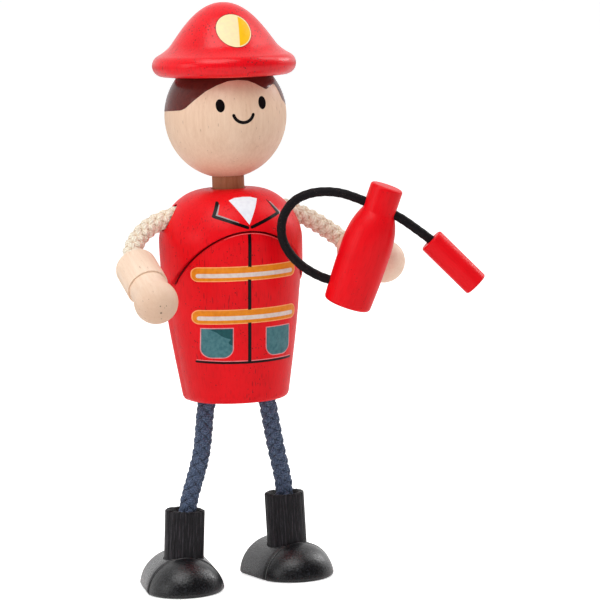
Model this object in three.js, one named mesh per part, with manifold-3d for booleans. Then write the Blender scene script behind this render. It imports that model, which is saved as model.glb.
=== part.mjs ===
// Firefighter doll: turned wooden head, hat and torso, wire-cored cord limbs, wooden hands and boots,
// and a small wooden extinguisher with its hose, pegged to the left hand.
// Millimetres, +Z up. The doll faces -Y and its left hand is at +X.
// The origin is on the floor, under the middle of the object's box.

import * as THREE from 'three';
import { mergeVertices } from 'three/addons/utils/BufferGeometryUtils.js';
import Module from 'manifold-3d';

const wasm = await Module();
wasm.setup();

// Clearances
const gap = 0.3; // between two pieces that fit into each other, on each side
const cutMargin = 2; // how far a cutting tool runs past the surface it opens

// Torso
const hipHeight = 47.7; // floor to the torso's underside
const torsoHeight = 52.4;
const torsoRadius = 17.8; // at the chest, the widest place
const torsoChestHeight = 39.5; // of the widest place above the underside
const torsoFootRadius = 13.55;
const torsoFootRound = 1.6;
const torsoFootSwell = 0.24; // how far the foot's rounding pulls in
const torsoTopRadius = 5.5; // small flat round the neck
const torsoFlare = new THREE.Vector2(2.5, 15); // pull of the side curve at the foot
const torsoChestPull = 12.5; // straight pull of the side curve below the chest
const shoulderPull = new THREE.Vector2(8, 5); // pull of the shoulder curve at its top and at the chest
const frontRecess = 0.6; // depth of the arched front panel
const frontArchRadius = 17.5;
const frontArchHeight = 25.5; // of the arch's centre above the underside

// Neck and head
const neckRadius = 4;
const neckGap = 2.5; // neck that shows between torso and head
const neckInTorso = 12;
const neckInHead = 11;
const headRadius = 15.1;
const headHeight = 31;

// Hat
const hatSeat = 9.85; // the brim's underside above the middle of the head
const hatHeight = 18.05;
const brimRadius = 17.8;
const brimThickness = 5.5;
const crownFootRadius = 13.9; // where the crown rises from the brim
const crownFillet = new THREE.Vector2(0.7, 1); // width and height of the hollow between brim and crown
const crownPull = new THREE.Vector2(6, 5.8); // pull of the crown's curve at its top and at its foot
const crownLean = 0.69; // how far the crown's side leans in for each unit of height
const hatTilt = 0.7; // degrees by which the hat sits askew, towards the doll's left
const hatPegRadius = 2.5;
const hatPegInHead = 4;
const hatPegInHat = 4;

// Arms
const armCordRadius = 2.5;
const armRootDepth = 7; // cord inside the torso
const armBendSteps = 5; // points that carry an arm's easy curve
const shoulderDrop = 6.7; // of the arm holes below the torso's top
const wireRadius = 0.6;

// Hands
const handLength = 21;
const cuffLength = 9.8;
const cuffRadius = 5.15;
const cuffTopRadius = 3.7; // flat ring round the cord
const cuffRound = 1.9;
const handBallRadius = 5.35;
const handWaistRadius = 4.8; // groove behind the cuff's rim
const handCordDepth = 6;

// Legs
const legCordRadius = 2.35;
const legRootDepth = 8;
const legHoleSpread = 7.6; // of each leg hole from the torso's middle
const legCordInBoot = 9;

// Boots
const shaftRadius = 5;
const shaftMouthRadius = 3.8;
const shaftMouthDepth = 3;
const shaftEdge = 0.4;
const shaftSeat = 4.2; // the shaft's lower end above the floor
const footHalfWidth = 9.7;
const footHeight = 9;
const footRear = 8.7; // sole behind the shaft's middle
const footCrease = 4.4; // the crease before the shaft's middle
const toeDepth = 8.9; // toe in front of the crease

// Extinguisher
const bottleLength = 30.9;
const bottleRadius = 6.2; // at the widest place, where the shoulder's curve begins
const bottleFootRadius = 5.85;
const bottleFootRound = 1.2;
const bottleShoulderHeight = 14.5;
const bottleNeckHeight = 24.3;
const bottleNeckRadius = 4.05;
const bottleTopRound = 0.5;
// Pull of the shoulder's curve at its foot and at the neck
const bottleShoulderPull = new THREE.Vector2(5.5, 1.7);
const bottleNeckFlare = 0.85; // how far that curve still stands out from the neck
const bottleLean = 18.8; // degrees from upright, top towards the doll's left
const bottleNod = 9.6; // degrees from upright, top towards the front
const gripHeight = 11.5; // of the peg above the bottle's foot
const gripTurn = 44.4; // degrees of the peg round the bottle, from its front
const gripPegRadius = 1.4;
const gripPegInHand = 3.4;
const gripPegInBottle = 3.6;

// Hose and nozzle
const hoseRadius = 1.15;
const hoseTurn = 17; // degrees of the hose's plane round the bottle, from its cross line
const hoseExitHeight = 4.6; // of the lower hose hole above the bottle's foot
const hoseNeckHeight = 25.2; // of the cross bore in the middle of the bottle's neck
const hoseNeckDip = 6; // degrees by which the cross bore drops towards the nozzle
const hoseInBottle = 3; // hose inside its lower hole
const hoseInNozzle = 4;
const nozzleRadius = 3.15;
const nozzleLength = 15.6;
const nozzleEdge = 0.35;

// Steps of the round surfaces
const largeSides = 28;
const smallSides = 18;
const cordSides = 10;
const wireSides = 6;
const hoseSides = 8;
const torsoSteps = 6; // steps of each curve in a turned outline
const headSteps = 7;
const hatSteps = 5;
const smallSteps = 4;
const armSteps = 10; // steps along a cord
const legSteps = 14;
const archSteps = 20;
const domeSides = 28;
const domeRings = 18;
const pegSides = 12;
const hoseSteps = 42;

// Each side of the doll: where its hand begins, which way the hand points, and where its boot stands
const sides = {
  right: {
    sign: -1,
    handTop: new THREE.Vector3(-27.1, -9, 83.8),
    handPitch: 31.3,
    handTurn: 7.6,
    armTilt: 15, // degrees below level at which the cord leaves the torso
    armEase: new THREE.Vector2(6.5, 5), // pull of the arm's curve at the shoulder and at the hand
    boot: new THREE.Vector2(-15.5, 2),
    bootTurn: -6,
    shaftTop: 20.15, // above the floor
    shaftLean: 3.9,
    cordOffset: 1.1, // of the leg's cord from the middle of the boot's mouth, towards the other boot
    kneeOffset: new THREE.Vector3(-0.75, 0.1, 0), // how far the leg's middle bows from a straight line
  },
  left: {
    sign: 1,
    handTop: new THREE.Vector3(31.1, -2, 83.6),
    handPitch: 9.2,
    handTurn: 11.1,
    armTilt: 22,
    armEase: new THREE.Vector2(7, 5),
    boot: new THREE.Vector2(13.95, 7.7),
    bootTurn: 12,
    shaftTop: 21.3,
    shaftLean: 1.2,
    cordOffset: 0,
    kneeOffset: new THREE.Vector3(0.1, 0.3, 0),
  },
};

// The hose's route in its plane through the bottle's axis, across the bottle and along it, from its
// lower hole round to its neck
const hoseLoop = [
  [-7.8, 4.6], [-10.8, 5.0], [-14.15, 6.0], [-17.5, 7.9], [-20.1, 10.7], [-21.35, 14.05],
  [-21.3, 17.2], [-20.1, 20.3], [-17.5, 22.9], [-14.0, 24.7], [-10.1, 25.65], [-6.6, 25.75],
];
// And from the neck's far side on to the nozzle
const hoseEnd = [[6.4, 24.3], [9.6, 23.35]];
const nozzleMouth = new THREE.Vector2(14.25, 21.8);
const nozzleDip = 26; // degrees below the bottle's cross line at which the nozzle points

const paint = (color, roughness) => new THREE.MeshStandardMaterial({ color, roughness, metalness: 0 });
const materials = {
  redGloss: paint('#d3121b', 0.25),
  red: paint('#d8141c', 0.42),
  wood: paint('#e6c6a0', 0.55),
  neckWood: paint('#c9966a', 0.6),
  blackWood: paint('#2b2a2f', 0.5),
  cream: paint('#e3d9bd', 0.9),
  navy: paint('#3d4f6b', 0.9),
  elastic: paint('#17171a', 0.8),
  wire: new THREE.MeshStandardMaterial({ color: '#a9abad', roughness: 0.35, metalness: 1 }),
};

const UP = new THREE.Vector3(0, 0, 1);
const radians = THREE.MathUtils.degToRad;

// A closed geometry as a solid that can be cut and joined
function toSolid(source) {
  const bare = source.index ? source.toNonIndexed() : source.clone();
  bare.deleteAttribute('normal');
  bare.deleteAttribute('uv');
  const merged = mergeVertices(bare, 1e-4);
  const corners = [];
  for (let i = 0; i < merged.index.count; i += 3) {
    const [a, b, c] = [0, 1, 2].map((k) => merged.index.getX(i + k));
    if (a !== b && b !== c && c !== a) corners.push(a, b, c);
  }
  const mesh = new wasm.Mesh({
    numProp: 3,
    vertProperties: new Float32Array(merged.attributes.position.array),
    triVerts: new Uint32Array(corners),
  });
  return new wasm.Manifold(mesh);
}

function toGeometry(solid) {
  const mesh = solid.getMesh();
  const geometry = new THREE.BufferGeometry();
  geometry.setAttribute('position', new THREE.BufferAttribute(new Float32Array(mesh.vertProperties), 3));
  geometry.setIndex(new THREE.BufferAttribute(new Uint32Array(mesh.triVerts), 1));
  geometry.computeVertexNormals();
  return geometry;
}

// A piece turned about Z from a half outline that starts and ends on the axis
function turned(outline, turnedSides, steps) {
  const geometry = new THREE.LatheGeometry(outline.getPoints(steps), turnedSides);
  return geometry.rotateX(Math.PI / 2);
}

// A cylinder from one point to another
function rod(from, to, radius, rodSides = smallSides) {
  const reach = new THREE.Vector3().subVectors(to, from);
  const geometry = new THREE.CylinderGeometry(radius, radius, reach.length(), rodSides);
  geometry.rotateX(Math.PI / 2);
  geometry.translate(0, 0, reach.length() / 2);
  geometry.applyQuaternion(new THREE.Quaternion().setFromUnitVectors(UP, reach.clone().normalize()));
  return geometry.translate(from.x, from.y, from.z);
}

// A tube or a solid round section swept along a curve
function swept(curve, radius, boreRadius, sectionSides, steps) {
  const ring = (r) => Array.from({ length: sectionSides }, (_, i) => {
    const angle = (2 * Math.PI * i) / sectionSides;
    return new THREE.Vector2(r * Math.cos(angle), r * Math.sin(angle));
  });
  const section = new THREE.Shape(ring(radius));
  if (boreRadius > 0) section.holes.push(new THREE.Path(ring(boreRadius).reverse()));
  return new THREE.ExtrudeGeometry(section, { steps, extrudePath: curve, bevelEnabled: false });
}

function addPart(parent, name, shape, material) {
  const geometry = shape.isBufferGeometry ? shape : toGeometry(shape);
  const mesh = new THREE.Mesh(geometry, material);
  mesh.name = name;
  parent.add(mesh);
  return mesh;
}

// Heights above the floor that follow from the stack of torso, neck, head and hat
const torsoTop = hipHeight + torsoHeight;
const headMiddle = torsoTop + neckGap + headHeight / 2;
const headStretch = headHeight / (2 * headRadius);

// Torso: a turned barrel with a shallow arched panel on its front and bores for neck, arms and legs
function torsoOutline() {
  const outline = new THREE.Path();
  outline.moveTo(0, 0);
  outline.lineTo(torsoFootRadius - torsoFootRound, 0);
  outline.quadraticCurveTo(torsoFootRadius - torsoFootSwell, 0, torsoFootRadius, torsoFootRound);
  outline.bezierCurveTo(
    torsoFootRadius + torsoFlare.x, torsoFootRound + torsoFlare.y,
    torsoRadius, torsoChestHeight - torsoChestPull,
    torsoRadius, torsoChestHeight,
  );
  outline.bezierCurveTo(
    torsoRadius, torsoChestHeight + shoulderPull.y,
    torsoTopRadius + shoulderPull.x, torsoHeight,
    torsoTopRadius, torsoHeight,
  );
  outline.lineTo(0, torsoHeight);
  return outline;
}

// The torso's radius at a height above its underside
function torsoRadiusAt(height) {
  const points = torsoOutline().getPoints(40).filter((p) => p.x > torsoTopRadius);
  const next = points.findIndex((p) => p.y >= height && p.x > torsoFootRadius - torsoFootRound);
  const [a, b] = [points[next - 1], points[next]];
  return a.x + ((b.x - a.x) * (height - a.y)) / (b.y - a.y);
}

function frontPanelCut() {
  const halfWidth = frontArchRadius;
  const arch = new THREE.Shape();
  arch.moveTo(-halfWidth, -cutMargin);
  arch.lineTo(halfWidth, -cutMargin);
  arch.lineTo(halfWidth, frontArchHeight);
  arch.absarc(0, frontArchHeight, frontArchRadius, 0, Math.PI, false);
  const depth = torsoRadius + cutMargin;
  const prism = new THREE.ExtrudeGeometry(arch, { depth, curveSegments: largeSides, bevelEnabled: false });
  prism.rotateX(Math.PI / 2);
  const inset = 1 - frontRecess / torsoRadius;
  const core = turned(torsoOutline(), largeSides, torsoSteps).scale(inset, inset, 1);
  const tallCore = toSolid(core).add(toSolid(rod(
    new THREE.Vector3(0, 0, -cutMargin - 1),
    new THREE.Vector3(0, 0, torsoHeight / 2),
    (torsoFootRadius - torsoFootRound) * inset,
    largeSides,
  )));
  return toSolid(prism).subtract(tallCore);
}

// Where a cord leaves the torso, and the unit vector along which it leaves
function armRoot(side) {
  const tilt = radians(side.armTilt);
  const height = torsoHeight - shoulderDrop;
  return {
    mouth: new THREE.Vector3(side.sign * torsoRadiusAt(height), 0, hipHeight + height),
    out: new THREE.Vector3(side.sign * Math.cos(tilt), 0, -Math.sin(tilt)),
  };
}

function legRoot(side) {
  const mouth = new THREE.Vector3(side.sign * legHoleSpread, 0, hipHeight);
  const out = bootMouth(side).sub(mouth).normalize();
  return { mouth, out };
}

function torsoSolid() {
  let solid = toSolid(turned(torsoOutline(), largeSides, torsoSteps)).subtract(frontPanelCut());
  const place = new THREE.Vector3(0, 0, hipHeight);
  const neckFloor = new THREE.Vector3(0, 0, torsoHeight - neckInTorso - gap);
  const neckMouth = new THREE.Vector3(0, 0, torsoHeight + cutMargin);
  solid = solid.subtract(toSolid(rod(neckFloor, neckMouth, neckRadius + gap)));
  for (const side of Object.values(sides)) {
    const bores = [
      [armRoot(side), armRootDepth, armCordRadius],
      [legRoot(side), legRootDepth, legCordRadius],
    ];
    for (const [root, depth, radius] of bores) {
      const mouth = root.mouth.clone().sub(place);
      const floor = mouth.clone().addScaledVector(root.out, -depth - gap);
      const past = mouth.clone().addScaledVector(root.out, cutMargin + radius);
      solid = solid.subtract(toSolid(rod(floor, past, radius + gap, smallSides)));
    }
  }
  return solid;
}

// Head: a slightly tall ball, bored below for the neck and above for the hat's peg
function headSolid() {
  const outline = new THREE.Path();
  outline.moveTo(0, -headRadius);
  outline.absarc(0, 0, headRadius, -Math.PI / 2, Math.PI / 2, false);
  const ball = toSolid(turned(outline, largeSides, headSteps).scale(1, 1, headStretch));
  const neckBore = rod(
    new THREE.Vector3(0, 0, -headHeight / 2 - cutMargin),
    new THREE.Vector3(0, 0, -headHeight / 2 + neckInHead + gap),
    neckRadius + gap,
  );
  const pegBore = rod(
    new THREE.Vector3(0, 0, headHeight / 2 - hatPegInHead - gap),
    new THREE.Vector3(0, 0, headHeight / 2 + cutMargin),
    hatPegRadius + gap,
  );
  pegBore.rotateY(radians(hatTilt));
  return ball.subtract(toSolid(neckBore)).subtract(toSolid(pegBore));
}

// Hat: a round rolled brim under a bell crown, hollowed below to sit on the head
function hatSolid() {
  const brimHalf = brimThickness / 2;
  const outline = new THREE.Path();
  outline.moveTo(0, 0);
  outline.lineTo(brimRadius - brimHalf, 0);
  outline.absarc(brimRadius - brimHalf, brimHalf, brimHalf, -Math.PI / 2, Math.PI / 2, false);
  const crownFoot = brimThickness + crownFillet.y;
  outline.lineTo(crownFootRadius + crownFillet.x, brimThickness);
  outline.quadraticCurveTo(crownFootRadius + crownFillet.x / 2, brimThickness, crownFootRadius, crownFoot);
  outline.bezierCurveTo(
    crownFootRadius - crownLean * crownPull.y, crownFoot + crownPull.y,
    crownPull.x, hatHeight,
    0, hatHeight,
  );
  const hollow = new THREE.Path();
  hollow.moveTo(0, -headRadius);
  hollow.absarc(0, 0, headRadius, -Math.PI / 2, Math.PI / 2, false);
  const hollowScale = (headRadius + gap) / headRadius;
  const head = turned(hollow, largeSides, headSteps);
  head.scale(hollowScale, hollowScale, headStretch * hollowScale);
  head.translate(0, 0, -hatSeat);
  const headTop = headHeight / 2 - hatSeat;
  const pegBore = rod(
    new THREE.Vector3(0, 0, headTop - gap),
    new THREE.Vector3(0, 0, headTop + hatPegInHat + gap),
    hatPegRadius + gap,
  );
  return toSolid(turned(outline, largeSides, hatSteps)).subtract(toSolid(head)).subtract(toSolid(pegBore));
}

// Hand: a cuff with a rim, then a round end, about an axis that runs from the cord to the fingers along -Z
function handSolid() {
  const ballMiddle = handBallRadius - handLength;
  const waist = -cuffLength - gap;
  const rise = Math.acos(handWaistRadius / handBallRadius);
  const outline = new THREE.Path();
  outline.moveTo(0, -handLength);
  outline.absarc(0, ballMiddle, handBallRadius, -Math.PI / 2, rise, false);
  outline.lineTo(handWaistRadius, waist);
  outline.lineTo(cuffRadius, -cuffLength);
  outline.lineTo(cuffRadius, -cuffRound);
  outline.quadraticCurveTo(cuffRadius, 0, cuffTopRadius, 0);
  outline.lineTo(armCordRadius + gap, 0);
  outline.lineTo(armCordRadius + gap, -handCordDepth - gap);
  outline.lineTo(0, -handCordDepth - gap);
  return toSolid(turned(outline, smallSides, smallSteps));
}

function handDirection(side) {
  const pitch = radians(side.handPitch);
  const turn = radians(side.handTurn);
  return new THREE.Vector3(
    Math.cos(pitch) * Math.sin(turn),
    -Math.cos(pitch) * Math.cos(turn),
    -Math.sin(pitch),
  );
}

function handBallMiddle(side) {
  return side.handTop.clone().addScaledVector(handDirection(side), handLength - handBallRadius);
}

// The middle line of an arm: straight in the torso, an easy curve, straight in the hand
function armCurve(side) {
  const { mouth, out } = armRoot(side);
  const towards = handDirection(side);
  const bend = new THREE.CubicBezierCurve3(
    mouth.clone().addScaledVector(out, 1),
    mouth.clone().addScaledVector(out, 1 + side.armEase.x),
    side.handTop.clone().addScaledVector(towards, -side.armEase.y),
    side.handTop,
  );
  const points = [
    mouth.clone().addScaledVector(out, -armRootDepth),
    mouth.clone().addScaledVector(out, -armRootDepth / 2),
    ...bend.getPoints(armBendSteps),
    side.handTop.clone().addScaledVector(towards, handCordDepth / 2),
    side.handTop.clone().addScaledVector(towards, handCordDepth),
  ];
  return new THREE.CatmullRomCurve3(points, false, 'centripetal');
}

// Boots: the shaft leans a little in over the sole
function shaftDirection(side) {
  const lean = radians(side.shaftLean);
  return new THREE.Vector3(-side.sign * Math.sin(lean), 0, Math.cos(lean));
}

function alongShaft(side, height) {
  const up = shaftDirection(side);
  const foot = new THREE.Vector3(side.boot.x, side.boot.y, 0);
  return foot.addScaledVector(up, height / up.z);
}

function bootMouth(side) {
  return alongShaft(side, side.shaftTop);
}

function legCurve(side) {
  const { mouth, out } = legRoot(side);
  const towards = shaftDirection(side).negate();
  const shifted = (share) => new THREE.Vector3(-side.sign * share * side.cordOffset, 0, 0);
  const boot = bootMouth(side);
  const entry = boot.clone().add(shifted(1));
  const middle = mouth.clone().add(entry).divideScalar(2);
  middle.add(side.kneeOffset.clone().multiply(new THREE.Vector3(side.sign, 1, 1)));
  const points = [
    mouth.clone().addScaledVector(out, -legRootDepth),
    mouth,
    mouth.clone().addScaledVector(out, legCordRadius),
    middle,
    entry.clone().addScaledVector(towards, -legCordRadius),
    boot.clone().addScaledVector(towards, shaftMouthDepth / 2).add(shifted(1 / 2)),
    boot.clone().addScaledVector(towards, shaftMouthDepth),
    boot.clone().addScaledVector(towards, legCordInBoot),
  ];
  return new THREE.CatmullRomCurve3(points, false, 'centripetal');
}

// Boot shaft: a dowel along +Z with a flared mouth and a narrower bore that grips the cord
function shaftSolid(length) {
  const boreRadius = legCordRadius + gap;
  const boreFloor = length - legCordInBoot - gap;
  const outline = new THREE.Path();
  outline.moveTo(0, 0);
  outline.lineTo(shaftRadius, 0);
  outline.lineTo(shaftRadius, length - shaftEdge);
  outline.lineTo(shaftRadius - shaftEdge, length);
  outline.lineTo(shaftMouthRadius, length);
  outline.lineTo(boreRadius, length - shaftMouthDepth);
  outline.lineTo(boreRadius, boreFloor);
  outline.lineTo(0, boreFloor);
  return toSolid(turned(outline, smallSides, smallSteps));
}

// Boot foot: a half-round block with a crease before the shaft and a flatter round toe, toe towards -Y
function footSolid(side) {
  const toeRadius = (footHalfWidth ** 2 + toeDepth ** 2) / (2 * toeDepth);
  const toeMiddle = footCrease + toeDepth - toeRadius;
  const toeHeight = (footHeight * toeRadius) / footHalfWidth;
  const arch = new THREE.Shape();
  arch.absellipse(0, 0, footHalfWidth, footHeight, 0, Math.PI, false, 0);
  const archLength = footRear + footCrease + toeDepth + cutMargin;
  const longArch = new THREE.ExtrudeGeometry(arch, {
    depth: archLength, curveSegments: archSteps, bevelEnabled: false,
  });
  longArch.rotateX(Math.PI / 2);
  longArch.translate(0, footRear, 0);
  const dome = new THREE.SphereGeometry(1, domeSides, domeRings).rotateX(Math.PI / 2);
  dome.scale(toeRadius, toeRadius, toeHeight);
  dome.translate(0, -toeMiddle, 0);
  const rearLength = footRear + footCrease + cutMargin;
  const rear = new THREE.BoxGeometry(4 * footHalfWidth, rearLength, 4 * footHeight);
  rear.translate(0, rearLength / 2 - footCrease, 0);
  const envelope = toSolid(rear).add(toSolid(dome));
  const up = shaftDirection(side).applyAxisAngle(UP, radians(-side.bootTurn));
  const socket = rod(
    up.clone().multiplyScalar((shaftSeat - gap) / up.z),
    up.clone().multiplyScalar((footHeight + cutMargin) / up.z),
    shaftRadius + gap,
  );
  return toSolid(longArch).intersect(envelope).subtract(toSolid(socket));
}

// Extinguisher, in the bottle's own frame: +Z up its axis from the middle of its foot, +X across it
const hoseDirection = new THREE.Vector3(Math.cos(radians(hoseTurn)), -Math.sin(radians(hoseTurn)), 0);

// A point of the hose's plane, from its distances across the bottle and along it
const hosePoint = ([across, along]) => hoseDirection.clone().multiplyScalar(across).setZ(along);

// A point of the cross bore's middle line, at a distance across the neck
function neckBorePoint(across) {
  return [across, hoseNeckHeight - across * Math.tan(radians(hoseNeckDip))];
}

function bottleSolid() {
  const outline = new THREE.Path();
  outline.moveTo(0, 0);
  outline.lineTo(bottleFootRadius - bottleFootRound, 0);
  outline.quadraticCurveTo(bottleFootRadius, 0, bottleFootRadius, bottleFootRound);
  outline.quadraticCurveTo(bottleRadius, bottleShoulderHeight / 2, bottleRadius, bottleShoulderHeight);
  outline.bezierCurveTo(
    bottleRadius, bottleShoulderHeight + bottleShoulderPull.x,
    bottleNeckRadius + bottleNeckFlare, bottleNeckHeight - bottleShoulderPull.y,
    bottleNeckRadius, bottleNeckHeight,
  );
  outline.lineTo(bottleNeckRadius, bottleLength - bottleTopRound);
  outline.quadraticCurveTo(bottleNeckRadius, bottleLength, bottleNeckRadius - bottleTopRound, bottleLength);
  outline.lineTo(0, bottleLength);
  const hoseBore = hoseRadius + gap;
  const lowerHole = rod(
    hosePoint([-bottleRadius - cutMargin, hoseExitHeight]),
    hosePoint([-bottleRadius + hoseInBottle + gap, hoseExitHeight]),
    hoseBore,
  );
  const neckBore = rod(
    hosePoint(neckBorePoint(-bottleRadius - cutMargin)),
    hosePoint(neckBorePoint(bottleRadius + cutMargin)),
    hoseBore,
  );
  const grip = gripDirection().negate();
  const gripMouth = new THREE.Vector3(0, 0, gripHeight).addScaledVector(grip, bottleRadius);
  const gripHole = rod(
    gripMouth.clone().addScaledVector(grip, cutMargin),
    gripMouth.clone().addScaledVector(grip, -gripPegInBottle - gap),
    gripPegRadius + gap,
  );
  let solid = toSolid(turned(outline, smallSides, smallSteps));
  for (const bore of [lowerHole, neckBore, gripHole]) solid = solid.subtract(toSolid(bore));
  return solid;
}

// The way from the hand to the bottle, in the bottle's own frame
function gripDirection() {
  const turn = radians(gripTurn);
  return new THREE.Vector3(-Math.sin(turn), -Math.cos(turn), 0);
}

function hoseCurve() {
  const dip = radians(nozzleDip);
  const into = new THREE.Vector2(Math.cos(dip), -Math.sin(dip));
  const points = [
    [-bottleRadius + hoseInBottle, hoseExitHeight],
    [-bottleRadius, hoseExitHeight],
    ...hoseLoop,
    neckBorePoint(-bottleNeckRadius),
    neckBorePoint(0),
    neckBorePoint(bottleNeckRadius),
    ...hoseEnd,
    nozzleMouth.toArray(),
    nozzleMouth.clone().addScaledVector(into, hoseInNozzle).toArray(),
  ];
  return new THREE.CatmullRomCurve3(points.map(hosePoint), false, 'centripetal');
}

// Nozzle: a rod along +Z from its mouth end, bored for the hose at that end
function nozzleSolid() {
  const bore = hoseRadius + gap;
  const outline = new THREE.Path();
  outline.moveTo(0, hoseInNozzle + gap);
  outline.lineTo(bore, hoseInNozzle + gap);
  outline.lineTo(bore, 0);
  outline.lineTo(nozzleRadius - nozzleEdge, 0);
  outline.lineTo(nozzleRadius, nozzleEdge);
  outline.lineTo(nozzleRadius, nozzleLength - nozzleEdge);
  outline.lineTo(nozzleRadius - nozzleEdge, nozzleLength);
  outline.lineTo(0, nozzleLength);
  return toSolid(turned(outline, smallSides, smallSteps));
}

// Assembly
const doll = new THREE.Group();

const torso = addPart(doll, 'torso', torsoSolid(), materials.red);
torso.position.z = hipHeight;

addPart(doll, 'neck_dowel', rod(
  new THREE.Vector3(0, 0, torsoTop - neckInTorso),
  new THREE.Vector3(0, 0, torsoTop + neckGap + neckInHead),
  neckRadius,
), materials.neckWood);

const head = addPart(doll, 'head', headSolid(), materials.wood);
head.position.z = headMiddle;

// The hat and its peg sit a little askew about the middle of the head
const headwear = new THREE.Group();
headwear.position.z = headMiddle;
headwear.rotation.y = radians(hatTilt);
doll.add(headwear);

addPart(headwear, 'hat_peg', rod(
  new THREE.Vector3(0, 0, headHeight / 2 - hatPegInHead),
  new THREE.Vector3(0, 0, headHeight / 2 + hatPegInHat),
  hatPegRadius,
), materials.neckWood);

const hat = addPart(headwear, 'hat', hatSolid(), materials.redGloss);
hat.position.z = hatSeat;

for (const [name, side] of Object.entries(sides)) {
  const arm = armCurve(side);
  const armTube = swept(arm, armCordRadius, wireRadius + gap, cordSides, armSteps);
  addPart(doll, `${name}_arm_rope`, armTube, materials.cream);
  addPart(doll, `${name}_arm_wire`, swept(arm, wireRadius, 0, wireSides, armSteps), materials.wire);

  const hand = addPart(doll, `${name}_hand`, handWithHole(side), materials.wood);
  hand.position.copy(side.handTop);
  hand.quaternion.setFromUnitVectors(new THREE.Vector3(0, 0, -1), handDirection(side));

  const leg = legCurve(side);
  const legTube = swept(leg, legCordRadius, wireRadius + gap, cordSides, legSteps);
  addPart(doll, `${name}_leg_rope`, legTube, materials.navy);
  addPart(doll, `${name}_leg_wire`, swept(leg, wireRadius, 0, wireSides, legSteps), materials.wire);

  const up = shaftDirection(side);
  const shaftLength = (side.shaftTop - shaftSeat) / up.z;
  const shaft = addPart(doll, `${name}_boot_shaft`, shaftSolid(shaftLength), materials.blackWood);
  shaft.position.copy(alongShaft(side, shaftSeat));
  shaft.quaternion.setFromUnitVectors(UP, up);

  const foot = addPart(doll, `${name}_boot_foot`, footSolid(side), materials.blackWood);
  foot.position.set(side.boot.x, side.boot.y, 0);
  foot.rotation.z = radians(side.bootTurn);
}

// The bottle nods to the front, leans across the doll and hangs by its peg from the left hand's round end
function bottleTurn() {
  const nod = new THREE.Quaternion().setFromAxisAngle(new THREE.Vector3(1, 0, 0), radians(bottleNod));
  const lean = new THREE.Quaternion().setFromAxisAngle(new THREE.Vector3(0, 1, 0), radians(bottleLean));
  return lean.multiply(nod);
}

function gripOut() {
  return gripDirection().applyQuaternion(bottleTurn());
}

function handWithHole(side) {
  const solid = handSolid();
  if (side !== sides.left) return solid;
  const down = UP.clone().negate();
  const inHand = new THREE.Quaternion().setFromUnitVectors(handDirection(side), down);
  const out = gripOut().applyQuaternion(inHand);
  const middle = new THREE.Vector3(0, 0, handBallRadius - handLength);
  const hole = rod(
    middle.clone().addScaledVector(out, handBallRadius - gripPegInHand - gap),
    middle.clone().addScaledVector(out, handBallRadius + cutMargin),
    gripPegRadius + gap,
  );
  return solid.subtract(toSolid(hole));
}

const gripStart = handBallMiddle(sides.left);
const bottleAxisPoint = gripStart.clone().addScaledVector(gripOut(), handBallRadius + gap + bottleRadius);
const bottleUp = UP.clone().applyQuaternion(bottleTurn());
const extinguisher = new THREE.Group();
extinguisher.quaternion.copy(bottleTurn());
extinguisher.position.copy(bottleAxisPoint).addScaledVector(bottleUp, -gripHeight);
doll.add(extinguisher);

addPart(extinguisher, 'extinguisher_body', bottleSolid(), materials.red);
const hoseTube = swept(hoseCurve(), hoseRadius, 0, hoseSides, hoseSteps);
addPart(extinguisher, 'extinguisher_hose', hoseTube, materials.elastic);

const nozzle = addPart(extinguisher, 'extinguisher_nozzle', nozzleSolid(), materials.red);
nozzle.position.copy(hosePoint(nozzleMouth.toArray()));
nozzle.rotation.set(0, Math.PI / 2 + radians(nozzleDip), -radians(hoseTurn), 'ZYX');

addPart(doll, 'extinguisher_peg', rod(
  gripStart.clone().addScaledVector(gripOut(), handBallRadius - gripPegInHand),
  gripStart.clone().addScaledVector(gripOut(), handBallRadius + gap + gripPegInBottle),
  gripPegRadius,
  pegSides,
), materials.wood);

// The origin goes to the floor under the middle of the box of all pieces except the hose
doll.updateMatrixWorld(true);
const box = new THREE.Box3();
doll.traverse((piece) => {
  if (piece.isMesh && piece.name !== 'extinguisher_hose') box.expandByObject(piece, true);
});
const middle = box.getCenter(new THREE.Vector3());
const group = new THREE.Group();
doll.position.set(-middle.x, -middle.y, -box.min.z);
group.add(doll);

export default group;
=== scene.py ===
import math

import bmesh
import bpy
import numpy as np
from mathutils import Matrix, Vector


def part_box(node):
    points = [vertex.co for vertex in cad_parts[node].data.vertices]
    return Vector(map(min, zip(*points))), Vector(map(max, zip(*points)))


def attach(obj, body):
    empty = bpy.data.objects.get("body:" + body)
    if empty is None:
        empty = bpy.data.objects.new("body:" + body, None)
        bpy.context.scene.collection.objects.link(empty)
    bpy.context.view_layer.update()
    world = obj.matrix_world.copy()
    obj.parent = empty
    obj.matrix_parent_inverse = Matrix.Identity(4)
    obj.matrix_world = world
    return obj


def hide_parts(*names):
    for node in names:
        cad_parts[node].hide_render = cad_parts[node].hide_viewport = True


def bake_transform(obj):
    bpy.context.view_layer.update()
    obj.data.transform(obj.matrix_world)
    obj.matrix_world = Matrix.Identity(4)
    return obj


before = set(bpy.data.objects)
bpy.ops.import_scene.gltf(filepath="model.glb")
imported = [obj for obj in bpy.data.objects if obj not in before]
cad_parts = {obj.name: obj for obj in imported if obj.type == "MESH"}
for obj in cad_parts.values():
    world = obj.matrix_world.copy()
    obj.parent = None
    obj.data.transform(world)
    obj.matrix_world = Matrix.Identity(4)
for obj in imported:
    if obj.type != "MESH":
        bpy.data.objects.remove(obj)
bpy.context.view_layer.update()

MM = 0.001

# The doll's axis stands over the middle of the head
head_low, head_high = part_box("head")
AXIS = Vector(((head_low.x + head_high.x) / 2, (head_low.y + head_high.y) / 2, 0))

# Clearance between two pieces that fit into each other
GAP = 0.3

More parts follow.
